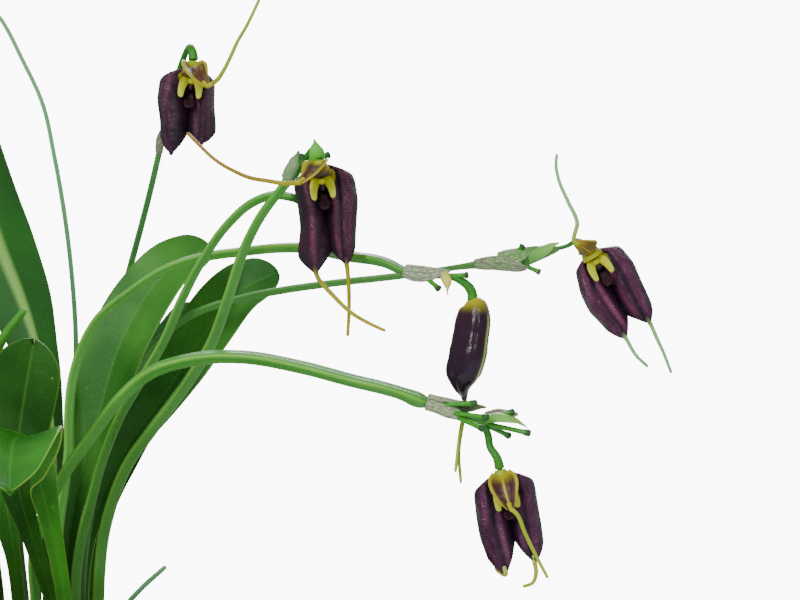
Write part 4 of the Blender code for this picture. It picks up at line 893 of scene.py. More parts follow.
LEAVES = [
    Leaf("leaf_tall_left", [
        (1.2, 2.2, 72, 1.2), (2.4, 2.9, 80.7, 1.2), (2.3, 3, 87.4, 1.3), (2.5, 3, 95.8, 1.7),
        (3, 3, 102.5, 2), (2.4, 4, 109.2, 2.5), (0.9, 6, 117.5, 3.4), (-1.2, 8.5, 124.2, 4.4),
        (-3.9, 11, 131.3, 5.9), (-7.5, 13, 139.6, 7), (-11, 14, 149.9, 6.8), (-13.4, 14, 160.2, 5.8),
        (-14.3, 13, 168.7, 4.4),
    ], (-0.2, 1, 0), (-0.7, 1, 0.2), 0.15),
    Leaf("leaf_notched", [
        (5.4, -9.2, 72, 1.2), (4.3, -10, 82, 1.2), (3, -12, 87.1, 1.3), (1.3, -15, 93.9, 1.6),
        (0, -18.5, 100.6, 2.6), (0.4, -22, 108.8, 4.6), (1.9, -25, 116.8, 5.4), (3.1, -27, 122.4, 5.3),
        (3.6, -28, 125, 4.9),
    ], (-0.1, -1, 0.2), (0, -1, 0.35), 0.2),
    Leaf("leaf_front_arched", [
        (7.6, -14.8, 72, 1.2), (6.9, -15.3, 82.5, 1.2), (5.8, -18, 91, 1.4), (4.4, -22, 99, 2),
        (3, -27, 105.3, 3.6), (2.1, -33, 109.2, 6.4), (1.9, -39.5, 109, 7.2), (2.3, -46, 106, 5.5),
        (2.9, -51.5, 102.3, 2.9),
    ], (0, -1, 0.3), (0, -0.6, 1), 0.3),
    Leaf("leaf_big_centre", [
        (4.5, 6.5, 72, 1.2), (4.5, 7, 80.3, 1.3), (5.5, 8.5, 93.3, 1.9), (7.2, 10.5, 102.9, 3.6),
        (9.8, 12, 112.2, 4.8), (13.2, 13, 123.3, 5.9), (17.8, 14.5, 131.9, 5.7), (23, 16, 137.6, 4.9),
        (28.3, 18, 140.1, 3.6),
    ], (-0.3, -1, 0.1), (-0.35, -0.9, 0.55), 0.2),
    Leaf("leaf_right_back", [
        (7.2, 15, 72, 1.2), (6.8, 15.8, 79.4, 1.2), (7.4, 17.5, 88.7, 1.5), (9.5, 19.5, 96.3, 2.1),
        (13.5, 21, 104.9, 3), (20, 22.5, 114.4, 4.4), (26.9, 23, 124.9, 5.6), (33, 23.5, 132.4, 5.2),
        (39.8, 24, 135.9, 3.6),
    ], (-0.4, -1, 0.2), (-0.3, -1, 0.5), 0.2),
    Leaf("leaf_dark_back", [
        (6.9, 21.5, 72, 1.2), (6.9, 22.5, 78.7, 1.2), (7.7, 25, 88, 1.8), (9.2, 27, 95.8, 3),
        (11.9, 29, 104.5, 4.4), (15.8, 31, 113.3, 4.8), (20.4, 33, 122.1, 4.4), (25.2, 35, 130.1, 3.2),
    ], (-0.3, -1, 0.1), (-0.2, -1, 0.4), 0.2),
    Leaf("leaf_left_edge", [
        (-1.5, -3, 72, 1.2), (-1.6, -4, 81.5, 1.2), (-2.3, -6, 90, 1.5), (-4, -8, 100, 3.2),
        (-7.5, -9.5, 110, 5.4), (-12.5, -9, 120, 6.4), (-18.5, -7, 130, 6.2), (-25, -4, 138.5, 4.4),
    ], (-0.4, -1, 0.1), (-0.3, -0.9, 0.6), 0.2),
    Leaf("leaf_low_left", [
        (-13, 0, 72, 1.2), (-14.5, 0, 80, 1.3), (-18.5, -1, 91, 2.4), (-27, -3, 102.5, 5.2),
        (-39, -5, 109, 6.8), (-52, -6, 109, 6.2), (-62, -6, 105, 4),
    ], (-1, 0, 0.3), (-0.1, 0, 1), 0.2),
    Leaf("leaf_arched_left", [
        (-6, 3.5, 72, 1.2), (-7, 4.5, 84, 1.3), (-10, 6, 99, 2.6), (-17, 8, 115, 5.4), (-28, 10, 129, 7.2),
        (-43, 11.5, 138, 6.8), (-57, 12, 139.5, 4.6),
    ], (-1, -0.3, 0.2), (-0.3, -0.3, 1), 0.2),
    Leaf("leaf_front_low", [
        (-4, -12, 72, 1.2), (-5, -14, 80, 1.3), (-8, -20, 90.5, 2.4), (-14, -29, 99, 4.8),
        (-22, -40, 102, 6.2), (-30, -51, 98, 5.4), (-35, -59, 91.5, 3.4),
    ], (0.3, -1, 0.4), (0.1, -0.2, 1), 0.22),
    Leaf("leaf_front_left", [
        (-9, -6, 72, 1.2), (-10.5, -7.5, 82, 1.3), (-15, -12, 96, 2.8), (-23, -19, 110, 5.6),
        (-33, -26, 120, 6.8), (-44, -33, 124, 6), (-53, -38, 122.5, 4),
    ], (-0.6, -0.8, 0.3), (-0.3, -0.2, 1), 0.2),
    Leaf("leaf_upright_back", [
        (-10.5, 9, 72, 1.2), (-11.5, 11, 84, 1.3), (-14, 15, 101, 2.8), (-18, 20, 120, 5.6),
        (-21.5, 25, 139, 6.8), (-24, 29, 154, 5.8), (-25.5, 31, 163, 3.8),
    ], (0.6, -1, 0.2), (0.4, -1, 0.4), 0.22),
    Leaf("leaf_back_left", [
        (-3, 15, 72, 1.2), (-4.5, 17.5, 82, 1.3), (-9, 23, 96, 2.8), (-17, 31, 110, 5.6),
        (-28, 39, 119.5, 6.6), (-40, 47, 122, 5.8), (-49, 53, 119.5, 3.6),
    ], (-0.3, 0.8, 0.4), (-0.1, 0.2, 1), 0.2),
    Leaf("leaf_back_low", [
        (1.5, 30, 71.5, 1.2), (2, 31.5, 79, 1.3), (2.5, 36, 89, 2.4), (2.5, 44, 98.5, 4.8),
        (1.5, 54, 103, 5.8), (-0.5, 64, 101.5, 4.9), (-2, 71, 97, 3),
    ], (0, 1, 0.4), (0, 0.2, 1), 0.22),
]


STEMS = [
    Stem("stem_high", [
        (1.5, 21, 72, 0.75), (1.7, 22, 78.7, 0.75), (4.1, 24, 96, 0.72), (8.3, 26, 116.9, 0.7),
        (13.5, 25, 136.3, 0.66), (17.1, 16, 146.5, 0.62), (20.1, 5, 154.6, 0.6), (21.6, 0.5, 159.5, 0.58),
        (23.6, -1.5, 166, 0.55),
    ], [
        (23.2, -1, 165, 0.5), (24.8, -3, 170.1, 0.5), (26.2, -5.4, 172.6, 0.52), (26.8, -7.2, 172.3, 0.6),
        (27.05, -7.8, 171.4, 0.74), (27.14, -8, 170.2, 0.85),
    ], [((23.4, -1.4, 165.5), (23, 0.6, 169))]),
    Stem("stem_middle", [
        (11, -1, 72, 1.15), (10.7, -1, 81, 1.15), (11, -2, 86, 1.15), (11.5, -2, 91, 1.15),
        (13, -3, 97, 1.15), (16, -5, 104, 1.12), (20, -7, 109.5, 1.1), (26.5, -10, 118, 1.08),
        (30, -13, 123.5, 1.05), (33.5, -18, 132, 1), (36, -21, 139, 0.95), (39, -24, 144.5, 0.9),
        (42.5, -25.5, 149, 0.9), (43.8, -25.8, 150.8, 1.15), (45.2, -26, 152.6, 1), (45.9, -26.2, 154, 0.6),
    ], [
        (44.6, -26, 151.6, 0.6), (46.4, -26, 153.7, 0.55), (47.3, -26.5, 154.7, 0.58),
        (47.9, -27.8, 154.6, 0.64), (48.12, -28.6, 153.9, 0.74), (48.25, -28.8, 152.9, 0.84),
    ], [((45, -26, 152), (45.6, -28.6, 153.6)), ((45.4, -26.2, 152.4), (50, -25.6, 154))]),
    Stem("stem_bud", [
        (4.5, -4, 72, 0.95), (4.5, -4, 81.5, 0.95), (4.2, -4, 88, 0.95), (4.6, -4, 94.5, 0.95),
        (5.5, -4, 100.5, 0.95), (6, -3, 106, 0.95), (6, -2.5, 112, 0.95), (6.4, -2, 117, 0.95),
        (7.9, -2, 122.5, 0.95), (11, -3, 128, 0.95), (16.5, -4, 132.5, 0.92), (22, -5, 136, 0.9),
        (28, -6, 138, 0.9), (35, -8, 139, 0.9), (45, -15, 139.5, 0.95), (53, -22, 138, 1),
        (58.5, -26, 137, 0.95), (62.6, -28, 135.2, 0.8), (66, -29, 134.9, 0.6), (69.5, -30, 134.8, 0.45),
    ], [
        (68.6, -30, 134.8, 0.5), (70.2, -30, 134.2, 0.62), (71.5, -30, 133.3, 0.72),
        (72.1, -30, 132.5, 0.78), (72.3, -30, 131.75, 0.8), (72.4, -30, 130.9, 0.95),
    ], [((65, -29, 134.6), (67.1, -31.5, 132.7)), ((68.8, -29.9, 134.8), (71.6, -31.2, 134.9))]),
    Stem("stem_right", [
        (7, 10.3, 72, 0.8), (6.6, 10.7, 79.9, 0.8), (6.9, 13, 88.2, 0.8), (8.3, 16.2, 98.3, 0.8),
        (12.2, 18.7, 112, 0.8), (17.7, 19, 122.3, 0.8), (23.9, 17.4, 127.9, 0.8), (33.5, 15, 131.3, 0.78),
        (40.5, 13, 132.7, 0.76), (49.1, 11, 133.9, 0.74), (61, 8, 135.2, 0.7), (72.8, 5, 136.9, 0.72),
        (76.5, 4.4, 137.4, 1.15), (80.2, 3.8, 137.7, 1.7), (83, 3.3, 138.4, 1.35), (85.5, 3, 139.1, 0.95),
        (87.8, 3, 139.8, 0.5),
    ], [(87, 3, 139.5, 0.36), (89.3, 2.4, 140.2, 0.38), (90.5, 1.8, 140.9, 0.45), (91.84, 1.2, 140.5, 0.5)],
        [((80, 3.6, 138), (81.6, 2.2, 140.2)), ((81, 3.6, 137.2), (84.6, 3.2, 135.6))]),
    Stem("stem_low", [
        (0.9, -7.2, 72, 1.1), (1.2, -8, 82, 1.1), (1, -9, 88.5, 1.1), (2, -10, 94, 1.1), (4.2, -11, 99, 1.1),
        (6.8, -12, 103.5, 1.1), (10.5, -13, 108.5, 1.12), (16, -15, 115.5, 1.15), (21, -17, 119.5, 1.18),
        (27.5, -19, 121.5, 1.2), (35.5, -22, 122, 1.2), (45, -25, 120.5, 1.2), (53, -28, 118.5, 1.18),
        (61, -30, 116.5, 1.16), (64.7, -30.3, 115.1, 1.16), (65.3, -30.3, 114.9, 0.85), (70, -31, 113, 0.8),
        (75, -31, 111.6, 0.62),
    ], [
        (74, -31, 111.8, 0.5), (74.7, -31.4, 110, 0.6), (75, -32.2, 108.2, 0.6), (76.1, -33, 106.4, 0.68),
        (76.51, -33, 104.7, 0.8),
    ], [
        ((66, -30.4, 114.6), (73, -33.2, 115)), ((68.5, -31, 113.5), (74.7, -34.6, 112.8)),
        ((69.5, -31, 112.9), (74, -35, 111)), ((73, -30.8, 112.4), (78.9, -31.4, 113.6)),
        ((74, -31, 111.8), (81.4, -31.6, 110.2)), ((73.6, -30.8, 111.9), (78.3, -28, 109.6)),
    ]),
    Stem("stem_young", [
        (7, -0.3, 72, 0.95), (6.8, 0, 81, 0.95), (7, 0, 86.5, 0.95), (8, 0, 92.5, 0.95),
        (9.5, -1, 97.5, 0.95), (11, -2, 103, 0.95), (12.5, -3, 107, 0.95), (14.5, -5, 111.5, 0.95),
        (18.5, -8, 118, 0.92), (22.5, -11, 124.5, 0.9), (25.5, -13.5, 131, 0.88), (29, -15, 137.5, 0.86),
        (33, -16.5, 143, 0.84), (37, -18, 146.5, 0.82), (41, -20, 147.8, 0.8), (44.5, -21.5, 147.2, 0.75),
    ], [(43.5, -21, 147.5, 0.62), (45.5, -22, 146.6, 0.85), (46.2, -22.4, 144.8, 0.7)], []),
    Stem("stem_tall_thin", [
        (2, 26, 72, 0.55), (2, 27, 78, 0.55), (2, 30, 95.5, 0.55), (3, 33, 113, 0.53), (3, 35, 123, 0.52),
        (2, 38, 134.5, 0.5), (0.5, 40, 145.5, 0.5), (-1.5, 41, 156.5, 0.48), (-4, 42, 167, 0.47),
        (-7.5, 42, 174.5, 0.46), (-11.5, 42, 182, 0.45), (-17, 42, 187.8, 0.45),
    ], [(-16.2, 42, 187.2, 0.4), (-19, 41.8, 189, 0.42), (-21.6, 41.4, 188.8, 0.5), (-23, 41, 187, 0.62)],
        [((-17, 42, 187.8), (-18, 42, 191))]),
    Stem("sprout_pale",
        [(11, 22.5, 72, 0.45), (11.8, 22.2, 75.5, 0.45), (15.4, 20.8, 80.2, 0.45), (20.4, 20, 84.8, 0.4)],
        [], [], 1),
    Stem("shoot_left", [
        (-7.3, 13.2, 72, 0.9), (-8, 12.5, 82, 0.9), (-9.6, 9, 100.5, 0.9), (-8.6, 3, 114.5, 0.88),
        (-5.4, -3, 123.5, 0.85), (-0.5, -8, 129.5, 0.6),
    ], [], [], 1),
]


BRACTS = [
    Bract("bract_bud_grey", [
        (61.8, -27.7, 135.5, 1), (64, -28.4, 135, 1.2), (66.8, -29.1, 134.7, 1.1), (69.2, -29.7, 134.9, 0.7),
    ], (0, -0.7, 1)),
    Bract("bract_low_netted", [
        (65.2, -30.3, 115.1, 1.15), (67, -30.6, 114.6, 1.2), (70, -31, 113.9, 1.25), (74.2, -31.3, 113.4, 1),
    ], (0.2, 0.9, 1), 95),
    Bract("bract_low_white", [
        (74.4, -29.3, 112.5, 0.8), (76, -29.1, 112.7, 1.05), (77.9, -29.1, 112.7, 1.05),
        (79.6, -29.4, 112.8, 0.8),
    ], (0.1, 1, 0.3), 60),
]


BLOOMS = [
    Bloom("bloom_high", (27.1, -8, 169.8), -5, (1.3, 3.6, 5.5, 5.6, 4.8, 4.3), (1.3, 3, 3.6, 3.8, 4.4, 4.6),
        14.9, 13, 11.2,
        [(0, -1.1, -0.4, 1.5), (0.5, -3, -1.4, 2.1), (1.7, -4.4, -2.8, 1.5), (3, -5, -3.9, 0.6)], [
            (30.4, -13, 166), (31.4, -14, 166.6), (32.6, -15, 168.2), (33.7, -15, 170.4), (34.8, -15, 172.8),
            (36.1, -14, 175.2), (37.7, -13, 178.7), (39.2, -12, 182.4),
        ], [(0, 1.6, 0.3), (0.4, 3.4, 1.6), (0.6, 5, 3.4)],
        [(-0.4, 1.6, 0.4), (-0.8, 3.4, 1.8), (-1, 5, 3.8)]),
    Bloom("bloom_middle", (48.3, -28.8, 152.5), 8.3, (1.3, 3.5, 4.5, 4.3, 4.4, 5.4),
        (1.3, 3.3, 5.1, 5.2, 4.5, 3.7), 17.1, 16.6, 13.9,
        [(0, -1.1, -0.4, 1.4), (-0.4, -3, -0.9, 2), (-1.7, -4.6, -2, 1.5), (-3.3, -5.2, -2.9, 0.6)], [
            (44.9, -34.2, 149.1), (43.2, -35, 149), (40.6, -35, 149.4), (37.8, -35, 149.9), (35, -35, 151.1),
            (32.4, -34.4, 152.7), (30, -33.6, 154.9), (27.9, -32.6, 157),
        ], [(2.7, -0.6, -3.5), (5.7, -1.2, -6.3), (8.7, -1.8, -8), (10.9, -2.2, -9)],
        [(0.3, 0.4, -3.6), (0.3, 0.6, -7.6), (0.1, 0.4, -11.1)]),
    Bloom("bloom_low", (76.6, -33, 104.3), 12, (1.3, 3.2, 4.7, 5.1, 5.2, 4.6),
        (1.3, 3.6, 4.9, 4.7, 4.6, 4.2), 15.7, 14.8, 10.7,
        [(0, -1.1, -0.4, 1.4), (0, -2.8, -2, 2.3), (0.1, -3.7, -4, 1.6), (0.3, -4.1, -5.6, 0.6)],
        [(78.7, -37.5, 98.4), (80.2, -38, 95.2), (81.9, -38, 91.7), (83.7, -38, 88.3)],
        [(-0.7, 1.4, 0.1), (-1.4, 2.6, 0.8), (-1, 3, 1.8)],
        [(0.2, -0.4, -1.8), (-0.3, -0.8, -3.1), (-1.9, -1.2, -3.7)]),
    Bloom("bloom_right", (92.2, 1.2, 139.9), 31, (1.3, 2.6, 3.7, 4.8, 5.1, 4.2),
        (1.3, 3.6, 5.1, 5.6, 5.1, 4.6), 16.6, 16.4, 13.3,
        [(0, -1, -1.4, 1.3), (-0.1, -2.3, -1, 1.9), (-0.7, -3.1, 0.2, 1.4), (-1.5, -3.2, 1.6, 0.6)],
        [(90.4, -2, 143.9), (88.9, -2, 147.3), (87.4, -1, 151), (87, 0, 153.5), (87.2, 1, 155.4)],
        [(1.6, 0.2, -2.7), (3.7, 0.8, -4.7)], [(1.2, 0.2, -2.6), (2.3, 0.6, -4.9), (3.7, 1.2, -8.4)]),
]


BUDS = [
    Bud("bud_dark", [
        (72.4, -30, 131.4, 0.9), (72.7, -30, 130.4, 2), (72.7, -30, 128.6, 2.8), (72.3, -30, 125.5, 3.05),
        (71.6, -30, 121.5, 3.15), (70.9, -29.8, 119, 2.75), (70.8, -29.3, 117.3, 1.5),
        (71.1, -28.6, 115.9, 0.6), (71.1, -28.2, 115.2, 0.45),
    ], 3, 0.25, Slot.SEPAL, [
        [
            (71.1, -28.2, 116.2), (71.1, -27.4, 114.8), (71.1, -26.9, 113.3), (70.6, -26.9, 111),
            (70.1, -27, 107.5), (69.7, -27.4, 103.9),
        ], [
            (71.1, -28.2, 116.2), (71.2, -27.3, 114.8), (71.2, -26.5, 113.3), (70.8, -26.4, 111),
            (70.3, -26.4, 107.5), (70.6, -26, 102.1),
        ],
    ]),
    Bud("bud_young", [
        (46.3, -22.5, 144.3, 0.7), (46.5, -22.6, 142.8, 1.3), (46.6, -22.6, 140.8, 1.5),
        (46.6, -22.5, 138.9, 1.1), (46.5, -22.4, 137.4, 0.4),
    ], 3, 0.1, Slot.STEM, []),
    Bud("bud_far", [
        (-23.25, 40.9, 186.5, 0.7), (-23.9, 40.6, 184.9, 1.9), (-24.5, 40.3, 182, 2.6),
        (-25, 40, 178.4, 2.7), (-25.2, 39.8, 174.8, 2.2), (-25.1, 39.8, 172.2, 0.9),
        (-25, 39.8, 171.4, 0.45),
    ], 3, 0.14, Slot.SEPAL,
        [[(-25.05, 39.8, 172.4), (-25, 39.8, 170.6), (-24.6, 39.6, 167), (-23.8, 39.2, 163)]]),
]


PURPLE = (0.026, 0.005, 0.018)
OCHRE = (0.24, 0.16, 0.002)
YELLOW = (0.33, 0.31, 0.002)
LIME = (0.22, 0.32, 0.006)
PALE_GREEN = (0.22, 0.42, 0.14)
BROWN = (0.06, 0.02, 0.01)

LEAF_FINISHES = {
    "leaf_tall_left": LeafFinish("leaf_keeled", (0.004, 0.06, 0.006), (0.008, 0.1, 0.01), (0.2, 0.4, 0.08),
        0.15, 0.4),
    "leaf_front_arched": LeafFinish("leaf_edged", (0.01, 0.1, 0.006), (0.035, 0.2, 0.012),
        (0.1, 0.32, 0.035), 0.9, 0.2),
    "leaf_notched": LeafFinish("leaf_shaded", (0.006, 0.045, 0.004), (0.018, 0.095, 0.008),
        (0.08, 0.2, 0.02), 0.25, 0.3),
    "leaf_big_centre": LeafFinish("leaf_light", (0.014, 0.1, 0.008), (0.045, 0.19, 0.018),
        (0.12, 0.32, 0.05), 0.3, 0.15),
    "leaf_right_back": LeafFinish("leaf_mid", (0.008, 0.07, 0.006), (0.03, 0.15, 0.014), (0.1, 0.28, 0.04),
        0.3, 0.15),
    "leaf_dark_back": LeafFinish("leaf_dark", (0.005, 0.05, 0.005), (0.015, 0.1, 0.01), (0.1, 0.26, 0.05),
        0.2, 0.15),
}
STEM_FINISHES = {
    "stem_tall_thin": StemFinish("stem_thin", (0.12, 0.38, 0.14), (0.2, 0.46, 0.16), (0.16, 0.42, 0.15), 0.2),
    "sprout_pale": StemFinish("stem_pale", (0.16, 0.45, 0.2), (0.24, 0.52, 0.24), (0.2, 0.5, 0.24), 0.3),
    "stem_high": StemFinish("stem_back", (0.05, 0.25, 0.05), (0.12, 0.34, 0.08), (0.1, 0.34, 0.07), 0.4),
    "stem_right": StemFinish("stem_soft", (0.05, 0.2, 0.035), (0.12, 0.3, 0.05), (0.08, 0.24, 0.04), 0.4),
    "stem_bud": StemFinish("stem_bright", (0.06, 0.26, 0.035), (0.16, 0.38, 0.025), (0.02, 0.15, 0.02), 0.8),
    "stem_low": StemFinish("stem_low", (0.05, 0.25, 0.035), (0.17, 0.4, 0.025), (0.03, 0.2, 0.02), 0.85),
}
PAPER_FINISHES = {
    "bract_low_white": PaperFinish("paper_white", (0.62, 0.56, 0.4), (0.42, 0.34, 0.2), (0.4, 0.2, 0.05),
        0.35),
    "bract_low_netted": PaperFinish("paper_low", (0.3, 0.38, 0.2), (0.06, 0.09, 0.04), (0.08, 0.26, 0.04),
        0.7),
    "bract_bud_grey": PaperFinish("paper_bud", (0.34, 0.38, 0.26), (0.08, 0.1, 0.06), (0.14, 0.28, 0.08),
        0.35),
}
FRESH = RunFinish("fresh", (0.012, 0.12, 0.006), (0.015, 0.15, 0.005), (0.025, 0.16, 0.005), 0.5, gloss=0.36)
STUB = RunFinish(
    "stub", (0.03, 0.2, 0.012), (0.03, 0.22, 0.012), (0.04, 0.24, 0.015), 0.5, gloss=0.3, cut=0.16
)
BUD_TAILS = RunFinish("bud_tails", YELLOW, LIME, (0.32, 0.42, 0.05), 0.3)
BUD_FINISHES = {
    "bud_dark": RunFinish("bud_dark", YELLOW, (0.02, 0.004, 0.014), (0.008, 0.003, 0.012), 0.17, 0.0,
        (0.2, 0.3, 0.01), 0.2, 1.0, 0.0, 0.91),
    "bud_young": RunFinish("bud_young", LIME, (0.2, 0.42, 0.05), (0.3, 0.42, 0.05), 0.4),
    "bud_far": RunFinish("bud_far", YELLOW, (0.03, 0.005, 0.018), (0.02, 0.004, 0.016), 0.18, 0.0, LIME,
        0.24, 1.0, 0.0, 0.8),
}
PETAL = RunFinish("petal", (0.3, 0.29, 0.003), (0.4, 0.43, 0.006), (0.46, 0.52, 0.03), 0.5)
# A sepal finish's ridges place its painted highlights across the lobes, and its mauve colours its painted
# glints
BLOOM_LOOKS = {
    "bloom_high": BloomLook(SepalFinish("sepal_high", glint_mauve=(0.34, 0.12, 0.2),
        ridges=((0.16, 0.11), (0.66, 0.08), (0.86, 0.08))),
        RunFinish("neck_high", BROWN, OCHRE, LIME, 0.5, 0.4),
        RunFinish("hood_high", YELLOW, BROWN, (0.08, 0.03, 0.008), 0.35, 0.85, turns=0.5),
        RunFinish("upper_high", YELLOW, LIME, (0.3, 0.34, 0.01), 0.3),
        RunFinish("tails_high", PURPLE, PURPLE, OCHRE, 0.5), 3, 1.0, 0.7, (0.06, 0.15)),
    "bloom_middle": BloomLook(SepalFinish("sepal_middle", wine=(0.085, 0.014, 0.036),
        ridges=((0.235, 0.075), (0.66, 0.07), (0.86, 0.1))),
        RunFinish("neck_middle", PURPLE, OCHRE, YELLOW, 0.5, 0.4),
        RunFinish("hood_middle", YELLOW, (0.05, 0.014, 0.016), (0.06, 0.018, 0.014), 0.35, 0.85, turns=0.5),
        RunFinish("upper_middle", YELLOW, OCHRE, (0.26, 0.13, 0.012), 0.4),
        RunFinish("tails_middle", PURPLE, (0.26, 0.24, 0.003), (0.3, 0.26, 0.004), 0.16), 13, 1.4, 0.1,
        (0.0, 0.22)),
    "bloom_low": BloomLook(SepalFinish("sepal_low", wine=(0.085, 0.014, 0.06), throat_share=0.7),
        RunFinish("neck_low", BROWN, YELLOW, LIME, 0.45, 0.3),
        RunFinish("hood_low", YELLOW, (0.05, 0.012, 0.016), (0.04, 0.01, 0.014), 0.4, 0.9),
        RunFinish("upper_low", YELLOW, LIME, (0.3, 0.34, 0.01), 0.3),
        RunFinish("tails_low", (0.3, 0.4, 0.1), (0.28, 0.3, 0.01), YELLOW, 0.3), 23, 1.6, 0.3),
    "bloom_right": BloomLook(SepalFinish("sepal_right", wine=(0.12, 0.02, 0.07), glint_mauve=(0.36, 0.12, 0.26)),
        RunFinish("neck_right", YELLOW, LIME, (0.3, 0.4, 0.04), 0.5, 0.3),
        RunFinish("hood_right", OCHRE, (0.09, 0.06, 0.004), OCHRE, 0.5, 0.6),
        RunFinish("upper_right", LIME, PALE_GREEN, (0.16, 0.42, 0.2), 0.3),
        RunFinish("tails_right", PURPLE, PALE_GREEN, (0.16, 0.42, 0.2), 0.25), 33, 0.4, 0.2),
}
SMALL_BRACTS = [
    (
        Bract("bract_middle_netted", [
            (43.2, -25.7, 150.0, 0.9), (44.2, -26.0, 151.6, 1.1), (45.4, -26.2, 153.3, 1.0),
            (45.9, -26.3, 154.6, 0.7),
        ], (-0.8, -0.7, 0.3), 85.0),
        PaperFinish("paper_net", (0.14, 0.3, 0.1), (0.46, 0.48, 0.34), (0.06, 0.22, 0.05), 0.5), 0.15,
    ),
    (
        Bract("bract_middle_green", [
            (47.9, -27.9, 152.9, 0.9), (47.9, -28.3, 153.9, 1.05), (47.7, -28.3, 154.9, 0.8),
            (47.6, -28.0, 155.6, 0.35),
        ], (0.1, -1, 0.1), 80.0),
        RunFinish("bract_green", (0.05, 0.3, 0.02), (0.09, 0.38, 0.03), (0.1, 0.4, 0.05), 0.5), 0.2,
    ),
    (
        Bract("bract_high_pale",
            [(20.6, 3.7, 155.8, 0.55), (21.0, 2.4, 157.2, 0.75), (21.6, 0.6, 159.4, 0.75)], (-0.4, -1, 0.2),
            80.0), PaperFinish("paper_pale", flush_share=0.7), 0.1,
    ),
    (
        Bract("bract_right_low", [
            (73.6, 4.9, 137.1, 0.75), (77.0, 4.3, 137.4, 1.25), (80.3, 3.8, 137.6, 1.75),
            (83.0, 3.4, 137.3, 1.3),
        ], (0.0, -0.7, -1), 110.0),
        PaperFinish("paper_soft", (0.26, 0.32, 0.18), (0.14, 0.14, 0.08), (0.1, 0.3, 0.06), 0.7), 0.1,
    ),
    (
        Bract("bract_right_mid", [
            (77.5, 4.2, 137.6, 1.3), (80.2, 3.8, 137.8, 1.7), (82.6, 3.4, 138.3, 1.45),
            (84.2, 3.2, 138.9, 1.1),
        ], (0.0, -0.6, 1), 100.0),
        PaperFinish("paper_green", (0.2, 0.36, 0.12), (0.12, 0.16, 0.07), (0.08, 0.3, 0.05), 0.9), 0.12,
    ),
    (
        Bract("bract_right_tip",
            [(82.6, 3.4, 138.3, 1.35), (84.8, 3.1, 138.9, 1.1), (87.6, 3.0, 139.8, 0.75)], (0.0, -0.8, 1),
            100.0),
        RunFinish("bract_fresh", (0.08, 0.26, 0.04), (0.14, 0.34, 0.06), (0.24, 0.42, 0.08), 0.5), 0.12,
    ),
    (
        Bract("bract_low_foot", [
            (65.2, -30.3, 115.0, 1.0), (67.0, -30.5, 114.4, 1.0), (69.0, -30.8, 113.5, 0.95),
            (71.6, -31.0, 112.6, 0.7),
        ], (0.0, -1, -0.1), 100.0),
        PaperFinish("paper_foot", (0.34, 0.4, 0.24), (0.07, 0.1, 0.05), (0.1, 0.3, 0.05), 0.6), 0.12,
    ),
    (
        Bract("bract_low_green", [
            (74.4, -31.4, 112.2, 0.7), (76.6, -31.8, 112.3, 0.9), (78.8, -31.8, 111.6, 0.8),
            (80.2, -31.7, 110.9, 0.5),
        ], (0.1, -0.5, 1), 80.0),
        RunFinish("bract_low_green", (0.06, 0.26, 0.03), (0.16, 0.4, 0.06), (0.2, 0.42, 0.05), 0.5), 0.15,
    ),
    (
        Bract("bract_bud_spike",
            [(67.8, -29.8, 135.3, 0.6), (68.3, -30.0, 134.2, 0.7), (68.5, -30.2, 132.0, 0.1)],
            (-0.2, -1, 0.2), 75.0),
        RunFinish("bract_yellow", (0.4, 0.42, 0.05), (0.6, 0.56, 0.1), (0.66, 0.6, 0.2), 0.5), 0.1,
    ),
]


